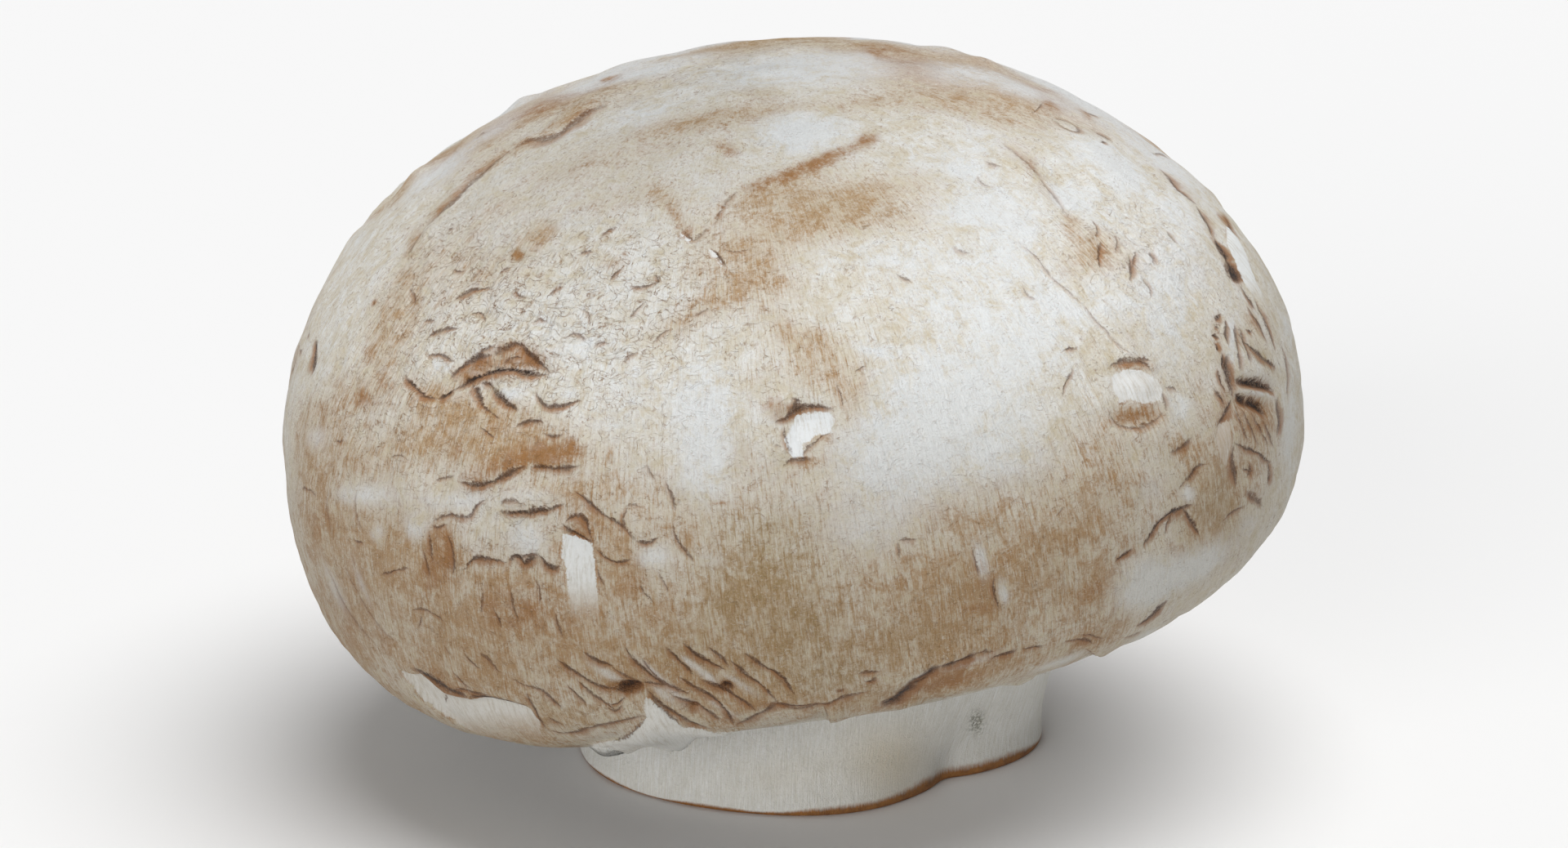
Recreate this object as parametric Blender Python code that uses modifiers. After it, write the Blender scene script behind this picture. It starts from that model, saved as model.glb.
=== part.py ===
"""Closed-cup button mushroom standing on its cut stem, in metres, +Z up.

The origin is the centre of the cut face at the foot of the stem. The mushroom is one grown body: a domed
cap with an inrolled margin, the torn veil that hangs from that margin, the gill chamber and the short stem.
The gills, which have a colour of their own, hold together as a second body inside the chamber.
Both are turned about the stem's axis, then lumped, waved and leaned by the same formulas.
"""

import math

import bpy
import numpy as np

# Cap: a half ellipsoid above its widest level, a boxier flank below it
CAP_RADIUS = 0.0275
CROWN_RISE = 0.0202
FLANK_DROP = 0.0110
FLANK_POWER = 3.37
WIDEST_HEIGHT = 0.0190
FLANK_END_RADIUS = 0.0240

# Inrolled lip of the cap, and the torn veil that runs in from it
LIP_RADIUS = 0.0229
LIP_ROUND = 0.0008
LIP_CENTRE_DROP = 0.0079
VEIL_EDGE_RADIUS = 0.0188
VEIL_DROP = 0.0080
VEIL_THICKNESS = 0.0007

# Gill chamber between the veil and the stem
CHAMBER_RADIUS = 0.0217
CHAMBER_ROOF_DROP = 0.0029

# Stem: waist and foot, the rounding of the cut edge, the flare to the right, the flat at the front right
STEM_TOP_RADIUS = 0.0131
STEM_WAIST_RADIUS = 0.0126
STEM_FOOT_RADIUS = 0.0130
STEM_EDGE_ROUND = 0.0002
STEM_TOP_DROP = 0.0050
STEM_FLARE = 0.0009
STEM_FLARE_AZIMUTH = 0.0
STEM_FLAT_AZIMUTH = -47.0
STEM_FLAT_SPREAD = 19.0
STEM_FLAT_DEPTH = 0.0020
STEM_CHIP_AZIMUTH = -44.0
STEM_CHIP_SPREAD = 5.0
STEM_CHIP_DEPTH = 0.0005

# Lean of the cap on the upright stem, in degrees, and the height that it leans about
LEAN_TO_LEFT = 7.6
LEAN_TO_FRONT = 6.9
LEAN_PIVOT_HEIGHT = 0.0100
LEAN_START_HEIGHT = 0.0020
LEAN_END_HEIGHT = 0.0130

# Gills: of every four, one reaches the stem's side of the chamber, one is half long and two are short
GILL_COUNT = 64
GILL_THICKNESS = 0.0006
GILL_SIDE_SLOPE = 0.00012
GILL_PLATE_THICKNESS = 0.0008
GILL_GAP = 0.00035
GILL_EDGE_DROP = 0.0071
GILL_INNER_RADIUS = 0.0146
GILL_OUTER_RADIUS = 0.0213
HALF_GILL_START = 0.0164
SHORT_GILL_START = 0.0182
GILL_RAMP = 0.0012

# Facets
TURN_STEPS = 88
CROWN_ROWS = 18
FLANK_ROWS = 8
STEM_ROWS = 5

# Lumps and hollows of the cap: azimuth and elevation seen from its centre, spread (degrees), height (m)
LUMPS = (
    (171, 28, 20, 0.00070),
    (140, 48, 18, 0.00020),
    (13, 30, 18, -0.00035),
    (-6, 0, 16, 0.00060),
    (-60, 48, 24, -0.00030),
    (102, 38, 17, -0.00025),
    (118, 4, 20, 0.00075),
    (-112, 24, 18, 0.00015),
)

# Waves of the cap's lower edge: azimuth, spread (degrees), rise (m)
EDGE_WAVES = (
    (-96, 20, 0.00150),
    (-62, 16, 0.00085),
    (-134, 15, -0.00080),
    (-165, 14, -0.00045),
    (35, 22, -0.00030),
    (88, 18, 0.00060),
    (140, 16, -0.00045),
)

# Where the torn veil hangs down instead of reaching in: azimuth, spread (degrees), share of a full droop
VEIL_DROOPS = (
    (-120, 11, 0.8),
    (-42, 15, 0.45),
    (28, 12, 0.60),
    (96, 20, 0.75),
    (168, 14, 0.50),
)
VEIL_DROOP_OUT = 0.0022
VEIL_DROOP_DOWN = 0.0030

# Scars of the skin: azimuth, elevation, half length round the cap, half length down it (degrees), depth (m)
SCARS = (
    (-12, 4, 5.0, 8.0, 0.00060),
    (-141, 10, 8.0, 3.0, 0.00055),
    (-128, -8, 7.0, 2.5, 0.00045),
    (-89, 6, 3.5, 2.5, 0.00050),
    (-52, 10, 4.0, 2.5, 0.00035),
    (-108, -24, 14.0, 2.5, 0.00050),
    (-72, -24, 9.0, 2.5, 0.00050),
    (150, 36, 12.0, 2.5, 0.00040),
    (74, 4, 7.0, 3.0, 0.00055),
    (128, 14, 4.0, 6.0, 0.00050),
)

FLESH_COLOUR = (0.72, 0.66, 0.55, 1.0)
GILL_COLOUR = (0.38, 0.22, 0.17, 1.0)


def smooth_step(value, low, high):
    """0 below low, 1 above high, easing between them."""
    share = np.clip((value - low) / (high - low), 0.0, 1.0)
    return share * share * (3.0 - 2.0 * share)


def turn_between(azimuth, centre):
    """Signed angle from centre to azimuth, both in degrees, between -180 and 180."""
    return (azimuth - centre + 180.0) % 360.0 - 180.0


def bell(azimuth, centre, spread):
    """Bell curve round the axis, 1 at centre."""
    return np.exp(-0.5 * (turn_between(azimuth, centre) / spread) ** 2)


def evenly_spaced(radius, height, count):
    """Points at equal steps along a densely sampled curve."""
    steps = np.hypot(np.diff(radius), np.diff(height))
    run = np.concatenate([[0.0], np.cumsum(steps)])
    at = np.linspace(0.0, run[-1], count)
    return list(zip(np.interp(at, run, radius), np.interp(at, run, height)))


def crown_profile():
    """Quarter ellipse from the crown down to the widest level."""
    angle = np.linspace(math.pi / 2, 0.0, 200)
    radius = CAP_RADIUS * np.cos(angle)
    height = WIDEST_HEIGHT + CROWN_RISE * np.sin(angle)
    radius[0] = 0.0
    return evenly_spaced(radius, height, CROWN_ROWS)


def flank_profile():
    """Superellipse from the widest level down to the lip, where it already runs inwards."""
    radius = np.linspace(CAP_RADIUS, FLANK_END_RADIUS, 400)
    share = (1.0 - (radius / CAP_RADIUS) ** FLANK_POWER) ** (1.0 / FLANK_POWER)
    height = WIDEST_HEIGHT - FLANK_DROP * share
    return evenly_spaced(radius, height, FLANK_ROWS)[1:]


def lip_profile():
    """Round underside of the inrolled lip."""
    angles = np.radians([-50.0, -90.0, -130.0])
    centre = WIDEST_HEIGHT - LIP_CENTRE_DROP
    return [(LIP_RADIUS + LIP_ROUND * math.cos(a), centre + LIP_ROUND * math.sin(a)) for a in angles]


def veil_profile():
    """Thin membrane: out along its lower face to the torn edge, then back along its upper face."""
    level = WIDEST_HEIGHT - VEIL_DROP
    half = VEIL_THICKNESS / 2
    middle = (LIP_RADIUS + VEIL_EDGE_RADIUS) / 2
    return [
        (middle, level - half),
        (VEIL_EDGE_RADIUS + half, level - half),
        (VEIL_EDGE_RADIUS, level),
        (VEIL_EDGE_RADIUS + half, level + half),
        (middle, level + half),
    ]


def chamber_profile():
    """Wall and roof of the gill chamber, and the turn down on to the stem."""
    roof = WIDEST_HEIGHT - CHAMBER_ROOF_DROP
    floor = WIDEST_HEIGHT - VEIL_DROP
    return [
        (CHAMBER_RADIUS, floor + 0.0009),
        (CHAMBER_RADIUS + 0.0001, floor + 0.0026),
        (CHAMBER_RADIUS - 0.0007, roof - 0.0010),
        (CHAMBER_RADIUS - 0.0023, roof - 0.0002),
        (0.0165, roof),
        (0.0144, roof - 0.0003),
        (0.0135, roof - 0.0012),
    ]


def stem_profile():
    """Stem from the chamber down to the rounded edge of the cut, and in to its centre."""
    share = np.linspace(0.0, 1.0, STEM_ROWS)
    top = WIDEST_HEIGHT - STEM_TOP_DROP
    height = top + (STEM_EDGE_ROUND - top) * share
    ends = STEM_TOP_RADIUS + (STEM_FOOT_RADIUS - STEM_TOP_RADIUS) * share
    waist = (STEM_TOP_RADIUS + STEM_FOOT_RADIUS) / 2 - STEM_WAIST_RADIUS
    radius = ends - waist * np.sin(math.pi * share)
    foot = [(STEM_FOOT_RADIUS - STEM_EDGE_ROUND, 0.0), (STEM_FOOT_RADIUS * 0.5, 0.0), (0.0, 0.0)]
    return list(zip(radius, height)) + foot


def plate_height(radius):
    """Top of the gill plate, just under the chamber's roof."""
    roof = WIDEST_HEIGHT - CHAMBER_ROOF_DROP - GILL_GAP
    inner = 0.0004 * (1.0 - smooth_step(radius, GILL_INNER_RADIUS, GILL_INNER_RADIUS + 0.0012))
    outer = 0.0016 * smooth_step(radius, GILL_OUTER_RADIUS - 0.0026, GILL_OUTER_RADIUS)
    return roof - inner - outer


def gill_profile():
    """Closed outline of the gill ring: its top from the stem outwards, then the gills' edge back in."""
    top_radius = np.linspace(GILL_INNER_RADIUS, GILL_OUTER_RADIUS - 0.0002, 5)
    edge_radius = np.linspace(GILL_OUTER_RADIUS - 0.0004, GILL_INNER_RADIUS + 0.0008, 6)
    edge = WIDEST_HEIGHT - GILL_EDGE_DROP
    top = [(r, plate_height(r)) for r in top_radius]
    side = [(GILL_OUTER_RADIUS, plate_height(GILL_OUTER_RADIUS) - GILL_PLATE_THICKNESS)]
    bottom = [(r, edge) for r in edge_radius]
    inner = [(GILL_INNER_RADIUS, plate_height(GILL_INNER_RADIUS) - GILL_PLATE_THICKNESS)]
    return top + side + bottom + inner


def turned(name, profile, steps, is_loop):
    """Mesh of a profile turned once round the Z axis with a Screw modifier."""
    mesh = bpy.data.meshes.new(name + "_profile")
    points = [(r, 0.0, z) for r, z in profile]
    edges = [(i, i + 1) for i in range(len(points) - 1)]
    if is_loop:
        edges.append((len(points) - 1, 0))
    mesh.from_pydata(points, edges, [])
    outline = bpy.data.objects.new(name + "_profile", mesh)
    bpy.context.scene.collection.objects.link(outline)
    screw = outline.modifiers.new("turn", "SCREW")
    screw.steps = steps
    screw.render_steps = steps
    screw.use_merge_vertices = True
    screw.merge_threshold = 0.000001
    graph = bpy.context.evaluated_depsgraph_get()
    made = bpy.data.meshes.new_from_object(outline.evaluated_get(graph))
    made.name = name
    bpy.data.objects.remove(outline)
    bpy.data.meshes.remove(mesh)
    return made


def points_of(mesh):
    """Vertex positions as an array of rows."""
    points = np.empty(len(mesh.vertices) * 3, np.float32)
    mesh.vertices.foreach_get("co", points)
    return points.reshape(-1, 3).astype(np.float64)


def droop_veil(points):
    """Bends the veil's torn edge out and down where it hangs free."""
    radius = np.hypot(points[:, 0], points[:, 1])
    azimuth = np.degrees(np.arctan2(points[:, 1], points[:, 0]))
    level = WIDEST_HEIGHT - VEIL_DROP
    is_veil = (np.abs(points[:, 2] - level) < VEIL_THICKNESS) & (radius < LIP_RADIUS - LIP_ROUND)
    reach = np.clip((LIP_RADIUS - radius) / (LIP_RADIUS - VEIL_EDGE_RADIUS), 0.0, 1.0) * is_veil
    droop = sum(share * bell(azimuth, centre, spread) for centre, spread, share in VEIL_DROOPS)
    droop = np.minimum(droop, 1.0)
    grown = 1.0 + VEIL_DROOP_OUT * droop * reach / np.maximum(radius, 1e-6)
    points[:, :2] *= grown[:, None]
    points[:, 2] -= VEIL_DROOP_DOWN * droop * reach**1.5


def wave_edge(points):
    """Raises and lowers the cap's lower edge round the axis."""
    radius = np.hypot(points[:, 0], points[:, 1])
    azimuth = np.degrees(np.arctan2(points[:, 1], points[:, 0]))
    low = smooth_step(WIDEST_HEIGHT - points[:, 2], 0.0, FLANK_DROP * 0.8)
    outside = smooth_step(radius, STEM_FOOT_RADIUS + 0.0010, CHAMBER_RADIUS)
    rise = sum(height * bell(azimuth, centre, spread) for centre, spread, height in EDGE_WAVES)
    points[:, 2] += rise * low * outside


def lump_cap(points):
    """Moves the cap's skin in and out along the line from the cap's centre, by lumps and by scars."""
    from_centre = points - np.array([0.0, 0.0, WIDEST_HEIGHT])
    distance = np.maximum(np.linalg.norm(from_centre, axis=1), 1e-6)
    radius = np.hypot(points[:, 0], points[:, 1])
    azimuth = np.degrees(np.arctan2(points[:, 1], points[:, 0]))
    elevation = np.degrees(np.arcsin(np.clip(from_centre[:, 2] / distance, -1.0, 1.0)))
    depth = np.hypot(radius / CAP_RADIUS, from_centre[:, 2] / CROWN_RISE)
    off_stem = np.maximum(smooth_step(radius, 0.0150, 0.0185), smooth_step(from_centre[:, 2], 0.0, 0.004))
    skin = smooth_step(depth, 0.80, 0.97) * off_stem
    outward = np.zeros(len(points))
    for centre, level, spread, height in LUMPS:
        across = turn_between(azimuth, centre) * np.cos(np.radians(elevation))
        outward += height * np.exp(-0.5 * (across**2 + (elevation - level) ** 2) / spread**2)
    for centre, level, half_round, half_down, pit in SCARS:
        across = turn_between(azimuth, centre) * np.cos(np.radians(elevation)) / half_round
        down = (elevation - level) / half_down
        outward -= pit * np.exp(-0.5 * (across**2 + down**2))
    points += from_centre * (outward * skin / distance)[:, None]


def shape_stem(points):
    """Makes the stem slightly oval, flared at its right, flattened and chipped at the front right of its foot."""
    radius = np.hypot(points[:, 0], points[:, 1])
    azimuth = np.degrees(np.arctan2(points[:, 1], points[:, 0]))
    is_stem = 1.0 - smooth_step(radius, STEM_FOOT_RADIUS + 0.0005, STEM_FOOT_RADIUS + 0.0020)
    is_stem = is_stem * (points[:, 2] < WIDEST_HEIGHT)
    height = points[:, 2]
    oval = 0.00018 * np.cos(np.radians(2.0 * (azimuth - 20.0))) + 0.00012 * np.cos(np.radians(5.0 * azimuth))
    flare = STEM_FLARE * smooth_step(height, 0.0005, 0.0060) * bell(azimuth, STEM_FLARE_AZIMUTH, 38.0)
    flare = flare * (1.0 - smooth_step(height, 0.0095, 0.0135))
    flat = STEM_FLAT_DEPTH * bell(azimuth, STEM_FLAT_AZIMUTH, STEM_FLAT_SPREAD)
    flat = flat * (1.0 - 0.7 * smooth_step(height, 0.0010, 0.0070))
    chip = STEM_CHIP_DEPTH * bell(azimuth, STEM_CHIP_AZIMUTH, STEM_CHIP_SPREAD)
    chip = chip * (1.0 - smooth_step(height, 0.0005, 0.0035))
    moved = (oval + flare - flat - chip) * is_stem * smooth_step(radius, 0.0, 0.0120)
    points[:, :2] *= (1.0 + moved / np.maximum(radius, 1e-6))[:, None]


def lean_turn():
    """Axis and angle of the lean: the cap's axis tips to the left and towards the front."""
    tip = np.array([-math.sin(math.radians(LEAN_TO_LEFT)), -math.sin(math.radians(LEAN_TO_FRONT))])
    amount = float(np.hypot(*tip))
    return np.array([-tip[1], tip[0], 0.0]) / amount, math.asin(amount)


def lean_cap(points):
    """Turns the cap about a level axis through the pivot. The stem eases from upright at its foot."""
    axis, angle = lean_turn()
    radius = np.hypot(points[:, 0], points[:, 1])
    up = smooth_step(points[:, 2], LEAN_START_HEIGHT, LEAN_END_HEIGHT)
    out = smooth_step(radius, STEM_FOOT_RADIUS + 0.0010, STEM_FOOT_RADIUS + 0.0035)
    turn = (angle * np.maximum(up, out))[:, None]
    from_pivot = points - np.array([0.0, 0.0, LEAN_PIVOT_HEIGHT])
    along = (from_pivot @ axis)[:, None] * axis
    turned_points = from_pivot * np.cos(turn) + np.cross(axis, from_pivot) * np.sin(turn) + along * (1 - np.cos(turn))
    points[:] = turned_points + np.array([0.0, 0.0, LEAN_PIVOT_HEIGHT])


def comb_gills(points):
    """Narrows each group of four turned columns to one gill, and lifts what lies between gills to the plate."""
    radius = np.hypot(points[:, 0], points[:, 1])
    azimuth = np.arctan2(points[:, 1], points[:, 0]) % (2 * math.pi)
    column = np.round(azimuth / (2 * math.pi) * GILL_COUNT * 4).astype(int) % (GILL_COUNT * 4)
    gill = column // 4
    side = np.array([-1.0, -1.0, 1.0, 1.0])[column % 4]
    is_gap = np.isin(column % 4, (0, 3))
    from_middle = side * (GILL_THICKNESS / 2 + GILL_SIDE_SLOPE * is_gap)
    turned_to = (gill + 0.5) * 2 * math.pi / GILL_COUNT + from_middle / radius
    start = np.where(gill % 4 == 2, HALF_GILL_START, GILL_INNER_RADIUS - GILL_RAMP / 2)
    start = np.where(gill % 2 == 1, SHORT_GILL_START, start)
    plate = plate_height(radius) - GILL_PLATE_THICKNESS
    hang = smooth_step(radius, start, start + GILL_RAMP) * ~is_gap
    below = np.minimum(points[:, 2] - plate, 0.0)
    points[:, 2] = np.where(below < 0.0, plate + below * hang, points[:, 2])
    points[:, 0] = radius * np.cos(turned_to)
    points[:, 1] = radius * np.sin(turned_to)


def finished(name, mesh, points, material, collection):
    """Puts the moved points into the mesh and makes the named object."""
    mesh.vertices.foreach_set("co", points.astype(np.float32).ravel())
    mesh.update()
    mesh.shade_smooth()
    mesh.materials.append(material)
    thing = bpy.data.objects.new(name, mesh)
    collection.objects.link(thing)
    return thing


def plain_material(name, colour, roughness):
    """Principled material of one colour."""
    material = bpy.data.materials.new(name)
    material.use_nodes = True
    shader = material.node_tree.nodes["Principled BSDF"]
    shader.inputs["Base Color"].default_value = colour
    shader.inputs["Roughness"].default_value = roughness
    shader.inputs["Metallic"].default_value = 0.0
    return material


def make_mushroom(collection):
    """Cap, veil, chamber and stem as one grown body."""
    profile = crown_profile() + flank_profile() + lip_profile() + veil_profile()
    profile += chamber_profile() + stem_profile()
    mesh = turned("mushroom", profile, TURN_STEPS, is_loop=False)
    points = points_of(mesh)
    droop_veil(points)
    shape_stem(points)
    wave_edge(points)
    lump_cap(points)
    lean_cap(points)
    finished("mushroom", mesh, points, plain_material("flesh", FLESH_COLOUR, 0.75), collection)


def make_gills(collection):
    """The ring of gills that hangs from the chamber's roof, long, half long and short in turn."""
    mesh = turned("gills", gill_profile(), GILL_COUNT * 4, is_loop=True)
    points = points_of(mesh)
    comb_gills(points)
    wave_edge(points)
    lump_cap(points)
    lean_cap(points)
    finished("gills", mesh, points, plain_material("gill", GILL_COLOUR, 0.8), collection)


def main():
    for thing in list(bpy.data.objects):
        bpy.data.objects.remove(thing)
    collection = bpy.data.collections.new("button_mushroom")
    bpy.context.scene.collection.children.link(collection)
    make_mushroom(collection)
    make_gills(collection)


main()
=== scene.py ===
"""Looks of the button mushroom: lumpy skin with stains, fibres, cracks and torn places, the hidden gills,
a plain floor, soft light and the camera. Lengths are in millimetres, and in metres once a mesh is made.
"""

import math

import bpy
import numpy as np
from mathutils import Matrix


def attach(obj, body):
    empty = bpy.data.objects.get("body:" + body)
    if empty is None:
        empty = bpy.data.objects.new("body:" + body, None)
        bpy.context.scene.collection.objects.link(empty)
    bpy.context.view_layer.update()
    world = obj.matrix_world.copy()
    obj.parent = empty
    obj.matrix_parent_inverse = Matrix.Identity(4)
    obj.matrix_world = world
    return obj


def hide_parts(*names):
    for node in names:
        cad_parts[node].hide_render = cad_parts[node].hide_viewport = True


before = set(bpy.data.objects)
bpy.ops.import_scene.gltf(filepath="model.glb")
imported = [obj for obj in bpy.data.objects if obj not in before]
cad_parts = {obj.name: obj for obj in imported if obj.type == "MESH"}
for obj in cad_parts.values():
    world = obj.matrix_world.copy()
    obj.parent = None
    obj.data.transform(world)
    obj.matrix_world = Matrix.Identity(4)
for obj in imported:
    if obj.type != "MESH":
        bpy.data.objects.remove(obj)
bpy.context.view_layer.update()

MM = 0.001

# Camera: where it stands (mm), how far it looks down (degrees), its lens and sensor (mm), how near it sees
# (m) and the photograph's size (pixels)
CAMERA_PLACE = (-1.45, -198.0, 71.75)
CAMERA_PITCH = 15.11
CAMERA_LENS = 85.0
CAMERA_SENSOR = 36.0
CAMERA_NEAR = 0.01
PHOTO_SIZE = (1920, 1038)
PIXELS_PER_SLOPE = CAMERA_LENS / CAMERA_SENSOR * PHOTO_SIZE[0]

# Light: strength of the sky, then each sun's name, strength, spread and turns about X, Y and Z (degrees)
SKY_STRENGTH = 0.22
SUNS = (
    ("high", 2.36, 56.0, (3.0, 13.0, 0.0)),
    ("low", 1.75, 40.0, (82.0, 0.0, -28.0)),
)

# Floor: how white it is, and how far it reaches each way (m)
FLOOR_WHITE = 0.9
FLOOR_REACH = 4.0

# Cap
CAP_RADIUS = 27.5
CROWN_RISE = 20.2
FLANK_DROP = 11.0
FLANK_POWER = 3.37
WIDEST_HEIGHT = 19.0
FLANK_END_RADIUS = 24.0

# Rolled lip, veil and gill chamber
LIP_RADIUS = 22.9
LIP_ROUND = 0.8
LIP_CENTRE_DROP = 7.9
VEIL_EDGE_RADIUS = 18.8
VEIL_DROP = 8.0
VEIL_THICKNESS = 0.7
CHAMBER_RADIUS = 21.7
CHAMBER_ROOF_DROP = 2.9

# Corners of the chamber. Wall: out from its radius, up from the veil. Shoulder: out from its radius, up from
# the roof. Roof: radius, up from the roof
CHAMBER_WALL = ((0.0, 0.9), (0.1, 2.6))
CHAMBER_SHOULDER = ((-0.7, -1.0), (-2.3, -0.2))
CHAMBER_ROOF = ((16.5, 0.0), (14.4, -0.3), (13.5, -1.2))

# Stem
STEM_TOP_RADIUS = 13.1
STEM_WAIST_RADIUS = 12.6
STEM_FOOT_RADIUS = 13.0
STEM_EDGE_ROUND = 0.2
STEM_TOP_DROP = 5.0
STEM_FLARE = 0.9
STEM_FLARE_AZIMUTH = 0.0
STEM_FLARE_SPREAD = 38.0
STEM_FLAT_AZIMUTH = -47.0
STEM_FLAT_SPREAD = 19.0
STEM_FLAT_DEPTH = 2.0
STEM_FLAT_LOSS = 0.7
STEM_CHIP_AZIMUTH = -44.0
STEM_CHIP_SPREAD = 5.0
STEM_CHIP_DEPTH = 0.5

# Heights between which the flare grows and fades, the flat gets shallower and the chip ends, and the radii
# of the rings on the cut
STEM_FLARE_GROWS = (0.5, 6.0)
STEM_FLARE_FADES = (9.5, 13.5)
STEM_FLAT_FADES = (1.0, 7.0)
STEM_CHIP_FADES = (0.5, 3.5)
STEM_CUT_RADII = (12.4, 11.2, 9.4, 6.4, 3.2, 0.0)

# How far the stem is from round: height of each wave, how many go round it, where it is highest (degrees)
STEM_WAVES = ((0.18, 2.0, 20.0), (0.12, 5.0, 0.0))

# Lean of the cap on the stem
LEAN_TO_LEFT = 7.6
LEAN_TO_FRONT = 6.9
LEAN_PIVOT_HEIGHT = 10.0
LEAN_START_HEIGHT = 2.0
LEAN_END_HEIGHT = 13.0

# Gills: how deep they hang below the widest level, over what width an inner end slopes down, and how far the
# gap's sides stand off the blades
GILL_COUNT = 176
GILL_THICKNESS = 0.22
GILL_GAP = 0.35
GILL_PLATE_THICKNESS = 0.8
GILL_EDGE_DROP = 7.1
GILL_INNER_RADIUS = 14.6
GILL_OUTER_RADIUS = 21.3
GILL_EASE = 1.2
GILL_GAP_SIDE = 0.06

# Radii at which the inner ends of eight gills in turn start
GILL_STARTS = (14.2, 19.4, 17.8, 19.0, 16.2, 19.6, 17.4, 19.2)

# How the gill plate falls at its inner and outer edges: by how much, and over what width
PLATE_INNER_FALL = 0.4
PLATE_INNER_WIDTH = 1.2
PLATE_OUTER_FALL = 1.6
PLATE_OUTER_WIDTH = 2.6

# Lumps and hollows of the cap: azimuth and elevation seen from its centre, spread (degrees), height
LUMPS = (
    (171, 28, 20, 0.70),
    (140, 48, 18, 0.20),
    (13, 30, 18, -0.35),
    (-6, 0, 16, 0.60),
    (-60, 48, 24, -0.30),
    (102, 38, 17, -0.25),
    (118, 4, 20, 0.75),
    (-112, 24, 18, 0.15),
)

# Waves of the cap's lower edge: azimuth, spread (degrees), rise
EDGE_WAVES = (
    (-96, 20, 1.50),
    (-62, 16, 0.85),
    (-134, 15, -0.80),
    (-165, 14, -0.45),
    (35, 22, -0.30),
    (88, 18, 0.60),
    (140, 16, -0.45),
)

# Where the torn veil hangs down: azimuth, spread (degrees), share of a full droop
VEIL_DROOPS = (
    (-120, 11, 0.8),
    (-42, 15, 0.45),
    (28, 12, 0.60),
    (96, 20, 0.75),
    (168, 14, 0.50),
)
VEIL_DROOP_OUT = 2.2
VEIL_DROOP_DOWN = 3.0

# Ragged edge of the veil: height of each wave, how many go round it, its shift (degrees)
VEIL_RAGS = ((0.25, 17.0, 0.0), (0.18, 41.0, 30.0))

# Brown rim at the cut of the stem: its height where it is highest, the spread of that place (degrees), the
# share of it elsewhere and of its waves, then how brown the middle of the cut is and where that fades, as
# shares of the radius
RIM_HEIGHT = 0.75
RIM_TALLEST_AZIMUTH = -47.0
RIM_TALLEST_SPREAD = 30.0
RIM_LEAST = 0.32
RIM_WAVE = 0.12
RIM_MIDDLE = 0.36
RIM_FADE = (0.5, 0.92)

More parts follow.
